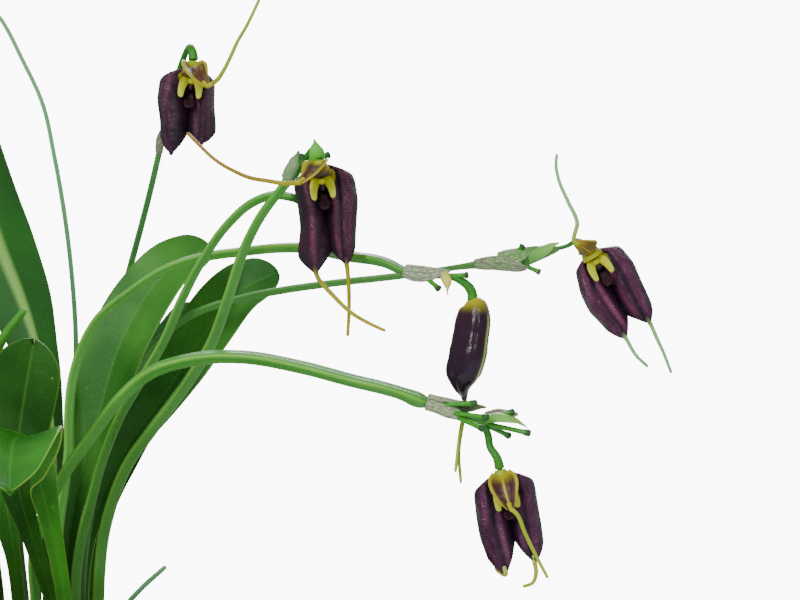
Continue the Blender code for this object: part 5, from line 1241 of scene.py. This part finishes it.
class LeafBlade:
    """Makes the leaves: thick channelled blades with a midrib groove, a keel and a notched tip.

    Lengths are in millimetres. Pairs are a depth and a width, or a height and a wave's length.
    """

    columns = 26
    step = 0.75
    crowding = 1.35
    tip_length = 1.1
    tip_fullness = 0.992
    rim_thickness = 0.5
    thinning_power = 1.3
    stalk_channel = 0.55
    channel_power = 1.5
    groove = (0.22, 0.35)
    keel = (0.25, 0.5)
    wave = (0.22, 16.0)
    notch_width = 1.3
    notch_power = 6
    edge_power = 10
    end_length = 0.9
    sunk = 0.3

    def build(self, leaf: Leaf, finish: LeafFinish) -> bpy.types.Object:
        """One leaf.

        The section is a channel that deepens with a power of the distance from the midrib. The blade thins
        from its midrib to its edges, and its tip is an ellipse with a notch.

        Args:
            leaf: The leaf's route and form.
            finish: Its finish.

        Returns:
            The object.
        """
        rows = rooted(leaf.route)
        shares = 1 - (1 - np.linspace(0.0, 1.0, round(length_of(rows) / self.step))) ** self.crowding
        path = route_through(rows, shares)
        places = path[:, :3]
        tangents = tangents_of(path)
        blend = shares[:, None]
        root, tip = (unit(np.array(way, float)) for way in (leaf.faces_root, leaf.faces_tip))
        faces = square_to(root * (1 - blend) + tip * blend, tangents)
        sides = np.cross(faces, tangents)
        length = length_of(places)
        blunt = 1 - self.tip_length * path[-1, 3] / length
        past = np.clip((shares - blunt) / (1 - blunt), 0.0, 1.0)
        half = path[:, 3] * np.sqrt(1 - self.tip_fullness * past**2)
        t = -np.cos(np.linspace(0.0, math.pi, self.columns))
        u = np.abs(t)[None]
        grown = np.clip((path[:, 3] * 2 - STALK_WIDTH) / (BLADE_WIDTH - STALK_WIDTH), 0.0, 1.0)
        middle = STALK_THICKNESS + (MIDRIB_THICKNESS - STALK_THICKNESS) * grown
        thin = self.rim_thickness + (middle[:, None] - self.rim_thickness) * (1 - u) ** self.thinning_power
        depth = (self.stalk_channel + (leaf.channel - self.stalk_channel) * grown)[:, None]
        rise = depth * half[:, None] * u**self.channel_power
        off = t[None] * half[:, None]
        groove, keel = (
            size * np.exp(-((off / wide) ** 2)) * grown[:, None] for size, wide in (self.groove, self.keel)
        )
        flat = places[:, None] + sides[:, None] * off[..., None]
        wave = self.wave[0] * ripple(flat, self.wave[1], leaf.seed) * u * grown[:, None]
        nick = np.exp(-((t[None] * path[:, 3:4] / self.notch_width) ** 2))
        shift = tangents[:, None] * (leaf.nick * past[:, None] ** self.notch_power * nick)[..., None]
        end = np.clip((shares - 1 + self.end_length / length) * length / self.end_length, 0, 1)
        rounded = np.sqrt(np.clip(1 - u**self.edge_power, 0.0, 1.0))
        body = thin / 2 * rounded * np.sqrt(np.clip(1 - end**2, 0.02, 1))[:, None]
        centre = rise + middle[:, None] / 2 - self.sunk - thin / 2 + wave
        top = flat + faces[:, None] * (centre + body - groove)[..., None] - shift
        bottom = flat + faces[:, None] * (centre - body - keel)[..., None] - shift
        skin = two_sided(top, bottom, t, shares)
        return piece("looks_" + leaf.name, [skin], finish, (leaf.name,))


class StemWork:
    """Makes the flower stems, with the blooms' stalks and the cut stubs."""

    stub_rings = ((0.0, 0.38), (0.3, 0.4), (0.7, 0.4), (0.82, 0.44), (0.9, 0.54), (0.97, 0.55), (1.0, 0.42))

    def build(self, stem: Stem, finish: StemFinish) -> None:
        """One stem as a fluted tube, its bloom's stalk as a round one and its stubs.

        Args:
            stem: The stem's routes.
            finish: The finish of the stem.
        """
        name = "looks_" + stem.name
        main = tube(rooted(stem.route), sides=24, step=0.8, round_ends=0.5, flute=stem.flute)
        piece(name, [main], finish, (stem.name,))
        if stem.flower_stalk:
            stalk = tube(stem.flower_stalk, sides=20, step=0.25, round_ends=0.25, first_side=(1, 0, 0.2))
            piece(name + "_stalk", [stalk], FRESH)
        if stem.stubs:
            piece(name + "_stubs", [self.stub(ends) for ends in stem.stubs], STUB)

    def stub(self, ends: tuple) -> Skin:
        """A cut stub with a swollen ring at its end."""
        start, end = np.array(ends, float)
        rows = [(*(start + (end - start) * share), radius) for share, radius in self.stub_rings]
        return tube(rows, sides=16, step=0.18, round_ends=0.12, first_side=(0.1, 1, 0.2))


class BractWork:
    """Makes papery bracts: thin shells round part of a route, with a torn and waved rim.

    The crinkle and the tear are a height and a wave's length, in millimetres, and a seed.
    """

    rows = 46
    columns = 33
    end_wrap = 10.0
    opening_power = 2.2
    crinkle = (0.07, 2.6, 11)
    tear = (0.35, 1.7, 5)
    tear_power = 6

    def build(self, bract: Bract, finish: object, nodes: tuple, thickness: float, inset: float) -> None:
        """One bract.

        Args:
            bract: Its route, the way its back points, and its wrap.
            finish: Its finish.
            nodes: The CAD nodes that it stands for.
            thickness: The shell's thickness, in millimetres.
            inset: How far the shell lies outside the route's radii, in millimetres.
        """
        shares = np.linspace(0.0, 1.0, self.rows)
        path = route_through(bract.route, shares)
        tangents = tangents_of(path)
        backs = square_to(np.broadcast_to(np.array(bract.back, float), (len(path), 3)), tangents)
        sides = np.cross(backs, tangents)
        wrap = np.radians(bract.wrap * (1 - shares**self.opening_power) + self.end_wrap)
        t = np.linspace(-1.0, 1.0, self.columns)
        turn = wrap[:, None] * t[None]
        direction = backs[:, None] * np.cos(turn)[..., None] + sides[:, None] * np.sin(turn)[..., None]
        middle = path[:, None, :3] + direction * (path[:, 3] + inset)[:, None, None]
        height, length, seed = self.crinkle
        crinkle = height * ripple(middle, length, seed) * (0.3 + shares[:, None])
        middle = middle + direction * crinkle[..., None]
        height, length, seed = self.tear
        tear = height * ripple(np.stack([turn * 2, turn * 0, turn * 0 + bract.wrap], axis=-1), length, seed)
        middle = middle + tangents[:, None] * (tear * shares[:, None] ** self.tear_power)[..., None]
        piece("looks_" + bract.name, [sheet(middle, thickness, t, shares)], finish, nodes)


class BloomWork:
    """Makes an open bloom: joined lower sepals, neck, upper sepal, tails, petals, column and lip.

    Sizes are in millimetres. The pinch, the bulge and the back are depths below the neck's top and the values
    there. Lumps and the lip's grain are heights, and their waves' lengths. The rows of the neck are heights
    and radii. The other rows are places under the neck's foot, each with a half width or a radius. A tip is
    the share of the squared width that goes, and how late it goes.
    """

    columns = 89
    depths = np.concatenate([np.linspace(0.0, 0.96, 78), [0.975, 0.988, 1.0]])
    thickness = 0.62
    inner_power = 1.15
    outer_power = 1.3
    outer_rise = 0.17
    throat_turn = 80.0
    smoothing = np.linspace(-0.7, 0.7, 7)
    pinch = ((5.0, 8.5), (1.35, 0.88))
    bulge = ((0.0, 2.0, 5.0, 11.0, 17.0), (0.0, 1.4, 2.9, 2.6, 1.2))
    back = ((0.0, 3.0, 8.0, 17.0), (1.0, 2.3, 2.2, 1.0))
    crease_inset = 0.06
    crease_width = 0.11
    rolled_edge = 0.9
    shoulder_depth = 2.6
    shoulder_width = 2.2
    lumps = ((0.14, 3.6), (0.05, 1.3))
    tail_radii = (0.5, 0.28)
    hood_cup = (0.75, 0.3)
    hood_crease = 0.06
    hood_thickness = 0.42
    hood_rows = 34
    hood_columns = 35
    neck_rows = ((-2.3, 1.78), (-1.7, 1.85), (-1.1, 1.62), (-0.5, 1.3), (0.0, 1.05), (0.42, 0.84))
    petal_rows = (
        (0.6, 0.0, 0.3, 0.6), (1.25, -0.7, -0.9, 0.7), (1.5, -1.2, -2.1, 0.55), (1.55, -1.5, -3.3, 0.42),
    )
    column_rows = ((0, 0.1, -0.2, 0.5), (0, 0.0, -0.9, 0.46), (0, -0.2, -1.5, 0.42), (0, -0.4, -1.9, 0.3))
    foot_rows = ((0, 0.1, -1.0, 0.8), (0, 0.0, 0.1, 0.85))
    lip_rows = ((0, 0.4, 0.0, 0.5), (0, 0.0, -0.8, 0.7), (0, -0.8, -1.8, 0.9), (0, -1.5, -2.5, 0.6))
    strap_across = np.linspace(-1.0, 1.0, 15)
    strap_along = np.linspace(0.0, 1.0, 26)
    strap_bow = np.array([0, -0.35, 0])
    strap_thickness = 0.5
    petal_tip = (0.75, 10)
    lip_tip = (0.7, 8)
    lip_grain = (0.05, 0.8)

    def __init__(self, bloom: Bloom, look: BloomLook) -> None:
        """Keeps the bloom's form and finishes."""
        self.bloom = bloom
        self.look = look
        self.turned = rotation(1, -math.radians(bloom.lean))

    def placed(self, points: np.ndarray) -> np.ndarray:
        """Points of the bloom's own frame, in the plant's frame."""
        return np.asarray(points, float) @ self.turned.T + np.array(self.bloom.base)

    def placed_rows(self, rows: tuple, top: float) -> list:
        """Rows under a height of the bloom's own frame, in the plant's frame."""
        return [(*self.placed((x, y, top + z)), radius) for x, y, z, radius in rows]

    def stations(self, depth: np.ndarray, widths: tuple) -> np.ndarray:
        """Half widths at the depths, smooth through the stations: their running mean."""
        means = [np.interp(depth + offset, LOBE_STATIONS, widths) for offset in self.smoothing]
        return np.mean(means, axis=0)

    def lobes(self, t: np.ndarray, s: np.ndarray) -> np.ndarray:
        """The middle surface of the joined lower sepals.

        Each column ends at its own depth, which gives two tips and the notch between them. The section opens
        from an arc inside the neck into two arches, each with a crease beside its tip. Its edges roll back.

        Args:
            t: Places across, from -1 to 1.
            s: Shares of each column's depth.

        Returns:
            The grid in the bloom's own frame.
        """
        bloom = self.bloom
        t = t[None]
        s = s[:, None]
        size = np.abs(t)
        length = np.where(t < 0, bloom.left_length, bloom.right_length)
        blunt = self.look.blunt
        inward = np.clip((LOBE_TIP - size) / LOBE_TIP, 0.0, 1.0) ** (self.inner_power + blunt)
        outward = np.clip((size - LOBE_TIP) / (1 - LOBE_TIP), 0.0, 1.0) ** (self.outer_power + blunt)
        end = length - (length - bloom.notch) * inward - self.outer_rise * length * outward
        depth = LOBE_TOP + s * (end - LOBE_TOP)
        wide = np.where(t < 0, self.stations(depth, bloom.left), self.stations(depth, bloom.right))
        opened = eased((depth - LOBE_TOP) / LOBE_OPENING)
        around = np.radians(self.throat_turn) * t
        x = (1 - opened) * LOBE_TOP_RADIUS * np.sin(around) + opened * t * wide
        crease = np.where(t < 0, *self.look.creases)
        beside = np.exp(-(((size - LOBE_TIP + self.crease_inset) / self.crease_width) ** 2))
        arch = np.sin(math.pi * size ** np.interp(depth, *self.pinch)) - crease * beside
        roll = self.rolled_edge * size**4 * np.clip(depth / 3.0, 0.0, 1.0)
        y = (1 - opened) * LOBE_TOP_RADIUS * np.cos(around)
        y = y + opened * (np.interp(depth, *self.back) - np.interp(depth, *self.bulge) * arch + roll)
        crown = np.sin(math.pi * np.clip(size, 0, 1) ** 0.8) + 0.35 * size**2
        lift = self.look.lift * crown * np.exp(-(((depth - self.shoulder_depth) / self.shoulder_width) ** 2))
        lift = lift * eased((depth - LOBE_TOP) / 1.2)
        grid = np.stack([x, y, lift - depth], axis=-1)
        seeds = (self.look.seed, self.look.seed + 1)
        lumps = sum(height * ripple(grid, length, seed) for (height, length), seed in zip(self.lumps, seeds))
        grid[..., 1] += lumps * opened
        return grid

    def tail(self, name: str, places: list, finish: RunFinish) -> None:
        """A tail that narrows to its tip, slightly ridged."""
        first, last = self.tail_radii
        radii = first + (last - first) * np.linspace(0.0, 1.0, len(places)) ** 0.7
        rows = [(*place, radius) for place, radius in zip(places, radii)]
        skin = tube(rows, sides=12, step=0.3, round_ends=0.3, first_side=(0.3, 1, 0.2), flute=0.92, ridges=2)
        piece(f"looks_{self.bloom.name}_tail_{name}", [skin], finish)

    def lower_tail(self, side: int, surface: np.ndarray, t: np.ndarray, offsets: list) -> None:
        """A lower tail, which starts inside its lobe's tip."""
        column = int(np.argmin(np.abs(t - side * LOBE_TIP)))
        tip = surface[-1, column]
        places = [surface[-8, column], tip] + [tip + np.array(offset) for offset in offsets]
        self.tail("left" if side < 0 else "right", places, self.look.tails)

    def build(self) -> None:
        """All pieces of the bloom."""
        name = self.bloom.name
        t = np.sin(np.linspace(-0.5, 0.5, self.columns) * math.pi)
        surface = self.placed(self.lobes(t, self.depths))
        thickness = self.thickness * np.interp(self.depths, (0.0, 0.2), (0.3, 1.0))[:, None]
        skin = sheet(surface, thickness, t, self.depths)
        piece(f"looks_{name}_lobes", [skin], self.look.sepal, (f"{name}_calyx",))
        self.lower_tail(-1, surface, t, self.bloom.left_tail)
        self.lower_tail(1, surface, t, self.bloom.right_tail)
        neck = [(*self.placed((0, 0, z)), radius) for z, radius in self.neck_rows]
        skin = tube(neck, sides=36, step=0.12, round_ends=0.1, flute=0.93, ridges=6)
        piece(f"looks_{name}_neck", [skin], self.look.neck)
        self.hood()
        self.inner_parts()

    def hood(self) -> None:
        """The small upper sepal, cupped over the throat, and its tail."""
        shares = np.linspace(0.0, 1.0, self.hood_rows)
        path = route_through(self.bloom.hood, shares)
        tangents, sides = carried(path, (1, 0, 0))
        fronts = np.cross(tangents, sides)
        t = np.sin(np.linspace(-0.5, 0.5, self.hood_columns) * math.pi)
        half = path[:, 3][:, None, None]
        cup = np.linspace(*self.hood_cup, len(shares))[:, None, None]
        across = t[None, :, None]
        grid = path[:, None, :3] + sides[:, None] * across * half + fronts[:, None] * cup * half * across**2
        crease = self.hood_crease * np.cos(3 * math.pi * across) * np.clip(half, 0, 1.2)
        grid = self.placed(grid + fronts[:, None] * crease)
        skin = sheet(grid, self.hood_thickness, t, shares, (True, False))
        piece(f"looks_{self.bloom.name}_hood", [skin], self.look.hood)
        middle = len(t) // 2
        places = [grid[-7, middle], grid[-1, middle]] + [np.array(place) for place in self.bloom.upper_tail]
        self.tail("upper", places, self.look.upper)

    def strap(self, rows: list, way: np.ndarray, tip: tuple, bow: np.ndarray) -> np.ndarray:
        """The middle surface of a strap.

        Args:
            rows: Its route in the bloom's own frame, with half widths.
            way: The way across it.
            tip: How much and how late it narrows.
            bow: How far each column lies forward, as a share of the full bow.

        Returns:
            The grid in the bloom's own frame.
        """
        path = route_through(rows, self.strap_along)
        narrowing, power = tip
        half = (path[:, 3] * np.sqrt(1 - narrowing * self.strap_along**power))[:, None, None]
        grid = path[:, None, :3] + way * self.strap_across[None, :, None] * half
        return grid + self.strap_bow * bow[None, :, None] * half

    def inner_parts(self) -> None:
        """The two strap petals, the column between them and the warty lip."""
        name = self.bloom.name
        top = -NECK_LENGTH - TOUCH_GAP
        t, shares = self.strap_across, self.strap_along
        skins = []
        for side in (-1, 1):
            rows = [(side * x, y, top + z, half) for x, y, z, half in self.petal_rows]
            way = np.array([0.9, -0.2 * side, 0.3 * side])
            grid = self.placed(self.strap(rows, way, self.petal_tip, 1 - t**2))
            skins.append(sheet(grid, self.strap_thickness, t, shares))
        column = tube(self.placed_rows(self.column_rows, top), sides=18, step=0.12, round_ends=0.2)
        piece(f"looks_{name}_column", [column], RunFinish("column", BROWN, PURPLE, PURPLE, 0.4))
        skins.append(tube(self.placed_rows(self.foot_rows, top), sides=20, step=0.2, round_ends=0.3))
        piece(f"looks_{name}_petals", skins, PETAL, (f"{name}_petals",))
        drop = -NECK_LENGTH - LIP_DROP
        rows = [(x, y, drop + z, half) for x, y, z, half in self.lip_rows]
        grid = self.strap(rows, np.array([1.0, 0, 0]), self.lip_tip, t**2)
        height, length = self.lip_grain
        grid[..., 1] += height * ripple(grid, length, 3)
        skin = sheet(self.placed(grid), self.strap_thickness, t, shares)
        piece(f"looks_{name}_lip", [skin], WartFinish(), (f"{name}_lip",))


class BudWork:
    """Makes closed buds: ribbed spindles with their tails."""

    sides = 48
    shares = np.unique(np.concatenate([np.linspace(0.0, 1.0, 60), [0.004, 0.012, 0.988, 0.996]]))
    end_share = 0.02
    valley_rounding = 0.02
    unevenness = (0.006, 2.5, 4)

    def build(self, bud: Bud, finish: RunFinish) -> None:
        """One bud.

        The radius is the route's, less the rib depth times one minus the size of the cosine of half the ribs'
        turns.

        Args:
            bud: Its form.
            finish: The finish of its body.
        """
        path = route_through(bud.route, self.shares)
        tangents, sides = carried(path, (0.4, -1, 0))
        ups = np.cross(tangents, sides)
        turn, across = ring_turns(self.sides)
        soft = np.sqrt(np.cos(bud.ribs * turn / 2) ** 2 + self.valley_rounding)
        ribbed = 1 - bud.rib_depth * (1 - soft)
        ends = domed(np.minimum(self.shares, 1 - self.shares) / self.end_share)
        half = (path[:, 3] * ends)[:, None, None]
        right, up = ((way * ribbed)[None, :, None] for way in (np.cos(turn), np.sin(turn)))
        ring = right * sides[:, None] + up * ups[:, None]
        points = path[:, None, :3] + half * ring
        height, length, seed = self.unevenness
        points = points + half * ring * (height * ripple(points, length, seed))[..., None]
        skin = Skin(points, across, self.shares[:, None])
        piece("looks_" + bud.name, [skin], finish, (bud.name,))
        if bud.tails:
            piece(f"looks_{bud.name}_tails", [self.tail(places) for places in bud.tails], BUD_TAILS)

    @staticmethod
    def tail(places: list) -> Skin:
        """One tail, which narrows to its tip."""
        rows = [(*place, radius) for place, radius in zip(places, np.linspace(0.45, 0.3, len(places)))]
        return tube(rows, sides=12, step=0.3, round_ends=0.4, first_side=(0.3, 1, 0.2), flute=0.8, ridges=2)


@dataclass
class PotWork:
    """Makes the tapered pot with its drain holes, and the mix of bark in it.

    Sizes are in millimetres. The swell and the lumps are heights, their waves' lengths and seeds.
    """

    height: float = 75.0
    rim: float = 45.0
    base: float = 33.0
    wall: float = 3.4
    floor: float = 5.0
    band: float = 15.0
    proud: float = 2.2
    mound_margin: float = 0.8
    drains: int = 3
    drain_ring: float = 17.0
    drain_radius: float = 3.5
    sides: int = 160
    chips: int = 620
    chip_seed: int = 21
    root_gap: float = 2.4
    wall_gap: float = 2.2
    swell: tuple = (0.05, 30.0, 2)
    lumps: tuple = ((0.5, 9.0, 6), (0.35, 3.5, 7))
    chip_power: float = 0.45
    chip_least: tuple = (1.0, 0.7, 0.3)
    chip_most: tuple = (3.2, 1.9, 0.95)
    chip_lumps: tuple = (0.12, 2.6)
    roots: list = field(default_factory=list)

    def profile(self) -> list[tuple[float, float, float]]:
        """The section from the base's centre out, up and down inside, with a rounding at each corner."""
        low = self.height - self.band
        top = self.rim - self.proud
        slope = (top - self.base) / low
        inner = top - self.wall
        return [
            (0.0, 0.0, 0.0), (self.base, 0.0, 0.9), (top, low, 0.25), (self.rim - 0.3, low + 0.1, 0.9),
            (self.rim, self.height, 1.1), (inner, self.height, 1.1), (inner - slope * self.band, low, 3.0),
            (self.base - self.wall + slope * self.floor, self.floor, 2.0), (0.0, self.floor, 0.0),
        ]

    def rounded(self) -> np.ndarray:
        """The profile with each corner replaced by a quadratic curve between points beside it."""
        corners = self.profile()
        points = [np.array(corners[0][:2])]
        for before, corner, after in zip(corners, corners[1:], corners[2:]):
            here = np.array(corner[:2])
            back = np.array(before[:2]) - here
            ahead = np.array(after[:2]) - here
            start = here + back / np.linalg.norm(back) * corner[2]
            stop = here + ahead / np.linalg.norm(ahead) * corner[2]
            previous = points[-1]
            steps = max(1, int(np.linalg.norm(start - previous) / 3.0))
            points += [previous + (start - previous) * k / steps for k in range(1, steps)]
            for k in np.linspace(0, 1, 6):
                points.append((1 - k) ** 2 * start + 2 * k * (1 - k) * here + k**2 * stop)
        points.append(np.array(corners[-1][:2]))
        points[0][0] = points[-1][0] = 0.01
        return np.array(points)

    def turned(self, radii: np.ndarray, heights: np.ndarray) -> Skin:
        """A skin turned about the pot's axis, from a radius for each ring and heights that broadcast."""
        turn, across = ring_turns(self.sides)
        x, y = (radii[:, None] * way[None] for way in (np.cos(turn), np.sin(turn)))
        points = np.stack([x, y, np.broadcast_to(heights, x.shape)], axis=-1)
        return Skin(points, across, np.linspace(0.0, 1.0, len(radii))[:, None])

    def build_pot(self) -> None:
        """The pot as a turned skin, slightly uneven as if thrown, with its drain holes cut."""
        profile = self.rounded()
        skin = self.turned(profile[:, 0], profile[:, 1:])
        height, length, seed = self.swell
        swell = height * ripple(skin.points, length, seed) * np.clip(skin.points[..., 2] / 10.0, 0, 1)
        swell = swell * np.clip(profile[:, :1] / 20.0, 0, 1)
        skin.points[..., :2] += unit(skin.points[..., :2]) * swell[..., None]
        pot = piece("looks_pot", [skin], ClayFinish(), ("pot",), 70.0)
        cutters = []
        for number in range(self.drains):
            angle = (number + 0.5) * 2 * math.pi / self.drains
            x, y = self.drain_ring * math.cos(angle), self.drain_ring * math.sin(angle)
            bpy.ops.mesh.primitive_cylinder_add(
                vertices=40,
                radius=self.drain_radius * MM,
                depth=4 * self.floor * MM,
                location=(x * MM, y * MM, self.floor / 2 * MM),
            )
            cutters.append(bpy.context.object)
            modifier = pot.modifiers.new("drain", "BOOLEAN")
            modifier.operation = "DIFFERENCE"
            modifier.object = cutters[-1]
            modifier.solver = "EXACT"
        graph = bpy.context.evaluated_depsgraph_get()
        cut = bpy.data.meshes.new_from_object(pot.evaluated_get(graph))
        pot.modifiers.clear()
        pot.data = cut
        for cutter in cutters:
            bpy.data.objects.remove(cutter)

    def mix_height(self, x: np.ndarray, y: np.ndarray) -> np.ndarray:
        """The mix's height: a mound that falls with the square of the radius, with lumps."""
        edge = self.rim - self.proud - self.wall - self.mound_margin
        places = np.stack([x, y, 0 * x], axis=-1)
        lumps = sum(height * ripple(places, length, seed) for height, length, seed in self.lumps)
        return MIX_LEVEL + MIX_MOUND * (1 - (x**2 + y**2) / edge**2) + lumps - 0.5

    def build_mix(self) -> None:
        """The mix's body, as a turned skin that meets the pot's inner wall, and the chips of bark on it."""
        inner = self.rim - self.proud - self.wall
        slope = (self.rim - self.proud - self.base) / (self.height - self.band)
        low = inner - slope * (self.height - self.floor - TOUCH_GAP) - TOUCH_GAP
        high = inner - slope * (self.height - MIX_LEVEL) - TOUCH_GAP
        wall, top = np.linspace(low, high, 8)[1:], np.linspace(high, 0.05, 70)[1:]
        radii = np.concatenate([[0.05, low * 0.5, low], wall, top])
        base = self.floor + TOUCH_GAP
        skin = self.turned(radii, 0.0)
        heights = self.mix_height(skin.points[..., 0], skin.points[..., 1])
        heights[:2] = base
        heights[2:10] = np.linspace(base, MIX_LEVEL - 0.5, 8)[:, None]
        skin.points[..., 2] = heights
        piece("looks_mix", [skin], BarkFinish("mix_ground", 0.45), ("potting_mix",))
        draw = np.random.default_rng(self.chip_seed)
        kinds = (("bark_dark", 0.0), ("bark_red", 0.12), ("bark_mossy", 0.75))
        chips = [[] for _ in kinds]
        roots = np.array(self.roots)
        edge = high - self.wall_gap
        while sum(len(group) for group in chips) < self.chips:
            radius = edge * math.sqrt(draw.uniform())
            angle = draw.uniform(0, 2 * math.pi)
            place = np.array([radius * math.cos(angle), radius * math.sin(angle)])
            if (np.linalg.norm(roots - place, axis=1) < self.root_gap).any():
                continue
            chips[draw.integers(len(kinds))].append(self.chip(draw, place))
        for (name, moss), group in zip(kinds, chips):
            piece("looks_" + name, group, BarkFinish(name, moss), (), 40.0)

    def chip(self, draw: np.random.Generator, place: np.ndarray) -> Skin:
        """A broken chip of bark: a box with rounded corners, a low power of a ball's, turned and lumpy."""
        rings = 9
        rise = np.linspace(-0.49, 0.49, rings)[:, None] * math.pi
        turn, across = ring_turns(14)
        x, y = np.cos(rise) * np.cos(turn), np.cos(rise) * np.sin(turn)
        ball = np.stack([x, y, np.sin(rise) + 0 * turn], axis=-1)
        boxy = np.sign(ball) * np.abs(ball) ** self.chip_power
        sizes = draw.uniform(self.chip_least, self.chip_most)
        points = boxy * sizes
        height, length = self.chip_lumps
        points = points * (1 + height * ripple(points, length, int(draw.integers(900))))[..., None]
        spin, tilt, roll = draw.uniform(0, 2 * math.pi), draw.normal(0, 0.35), draw.normal(0, 0.3)
        level = float(self.mix_height(place[:1], place[1:])[0])
        turned = points @ (rotation(2, spin) @ rotation(1, tilt) @ rotation(0, roll)).T
        points = turned + np.array([*place, level + sizes[2] * 0.35])
        return Skin(points, across, np.linspace(0, 1, rings)[:, None])


@dataclass(frozen=True)
class Softbox:
    """One area light: its place in metres, its power in watts, and its width and height in metres."""

    place: tuple
    power: float
    width: float
    height: float


SOFTBOXES = (
    Softbox((-0.42, -0.72, 0.6), 9.0, 0.14, 0.7),
    Softbox((0.3, -0.8, 0.5), 3.0, 0.08, 0.7),
    Softbox((0.1, 0.75, 0.6), 9.0, 0.5, 0.5),
)
LIGHT_AIM = np.array([0.04, 0.0, 0.12])
BACKDROP = ((1.0, 1.0, 1.0, 1.0), 10.0)
SOFT_LIGHT = ((0.93, 0.97, 1.0, 1.0), 0.6)
FLOOR_RADIUS = 0.55
FLOOR_SIDES = 96
FLOOR_COLOUR = (0.82, 0.82, 0.81)
CAMERA_PLACE = (0.061, -0.480, 0.131)
SENSOR_WIDTH = 36.0
FOCAL_LENGTH = 129.6
NEAR_CLIP = 0.01


def world_set() -> None:
    """The world: a white backdrop for the camera, and a dimmer, cooler light for all else."""
    world = bpy.data.worlds.new("studio")
    bpy.context.scene.world = world
    world.use_nodes = True
    nodes, links = world.node_tree.nodes, world.node_tree.links
    backdrop = nodes["Background"]
    soft = nodes.new("ShaderNodeBackground")
    for background, (colour, strength) in ((backdrop, BACKDROP), (soft, SOFT_LIGHT)):
        background.inputs["Color"].default_value = colour
        background.inputs["Strength"].default_value = strength
    chosen = nodes.new("ShaderNodeMixShader")
    rays = nodes.new("ShaderNodeLightPath")
    for number, output in enumerate((rays.outputs["Is Camera Ray"], soft.outputs[0], backdrop.outputs[0])):
        links.new(output, chosen.inputs[number])
    links.new(chosen.outputs[0], nodes["World Output"].inputs["Surface"])


def stage_set() -> None:
    """The pale floor and the soft lights."""
    turn = np.arange(FLOOR_SIDES) * 2 * math.pi / FLOOR_SIDES
    ring = np.stack([FLOOR_RADIUS * np.cos(turn), FLOOR_RADIUS * np.sin(turn), 0 * turn], axis=-1)
    mesh = bpy.data.meshes.new("floor")
    mesh.from_pydata(ring.tolist(), [], [tuple(range(FLOOR_SIDES))])
    pale = Shader("floor", 0.8)
    pale.node_link(FLOOR_COLOUR, "Base Color")
    mesh.materials.append(pale.material)
    placed_object("floor", mesh)
    for number, box in enumerate(SOFTBOXES):
        lamp = bpy.data.lights.new(f"softbox_{number}", "AREA")
        lamp.energy = box.power
        lamp.shape = "RECTANGLE"
        lamp.size = box.width
        lamp.size_y = box.height
        holder = placed_object(lamp.name, lamp)
        holder.location = box.place
        way = LIGHT_AIM - np.array(box.place)
        flat = math.hypot(way[0], way[1])
        holder.rotation_euler = (math.atan2(flat, -way[2]), 0.0, math.atan2(-way[0], way[1]))


def camera_set() -> None:
    """The camera, level and square to the plant's front, at the photograph's angle of view."""
    lens = bpy.data.cameras.new("camera")
    lens.sensor_width = SENSOR_WIDTH
    lens.lens = FOCAL_LENGTH
    lens.clip_start = NEAR_CLIP
    holder = placed_object("camera", lens)
    holder.location = CAMERA_PLACE
    holder.rotation_euler = (math.radians(90), 0.0, 0.0)
    bpy.context.scene.camera = holder


def main() -> None:
    """Builds every piece around the frame."""
    logging.basicConfig(level=logging.INFO, format="%(name)s: %(message)s")
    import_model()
    camera_set()
    world_set()
    stage_set()
    roots = [leaf.route[0][:2] for leaf in LEAVES] + [stem.route[0][:2] for stem in STEMS]
    pot = PotWork(roots=roots)
    pot.build_pot()
    pot.build_mix()
    for leaf in LEAVES:
        LeafBlade().build(leaf, LEAF_FINISHES.get(leaf.name, LeafFinish("leaf")))
    for stem in STEMS:
        StemWork().build(stem, STEM_FINISHES.get(stem.name, StemFinish("stem")))
    for bract in BRACTS:
        BractWork().build(bract, PAPER_FINISHES[bract.name], (bract.name,), BRACT_THICKNESS, BRACT_INSET)
    for bract, finish, inset in SMALL_BRACTS:
        BractWork().build(bract, finish, (), SMALL_BRACT_THICKNESS, inset)
    for bloom in BLOOMS:
        BloomWork(bloom, BLOOM_LOOKS[bloom.name]).build()
    for bud in BUDS:
        BudWork().build(bud, BUD_FINISHES[bud.name])
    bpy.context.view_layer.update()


if __name__ == "__main__":
    main()
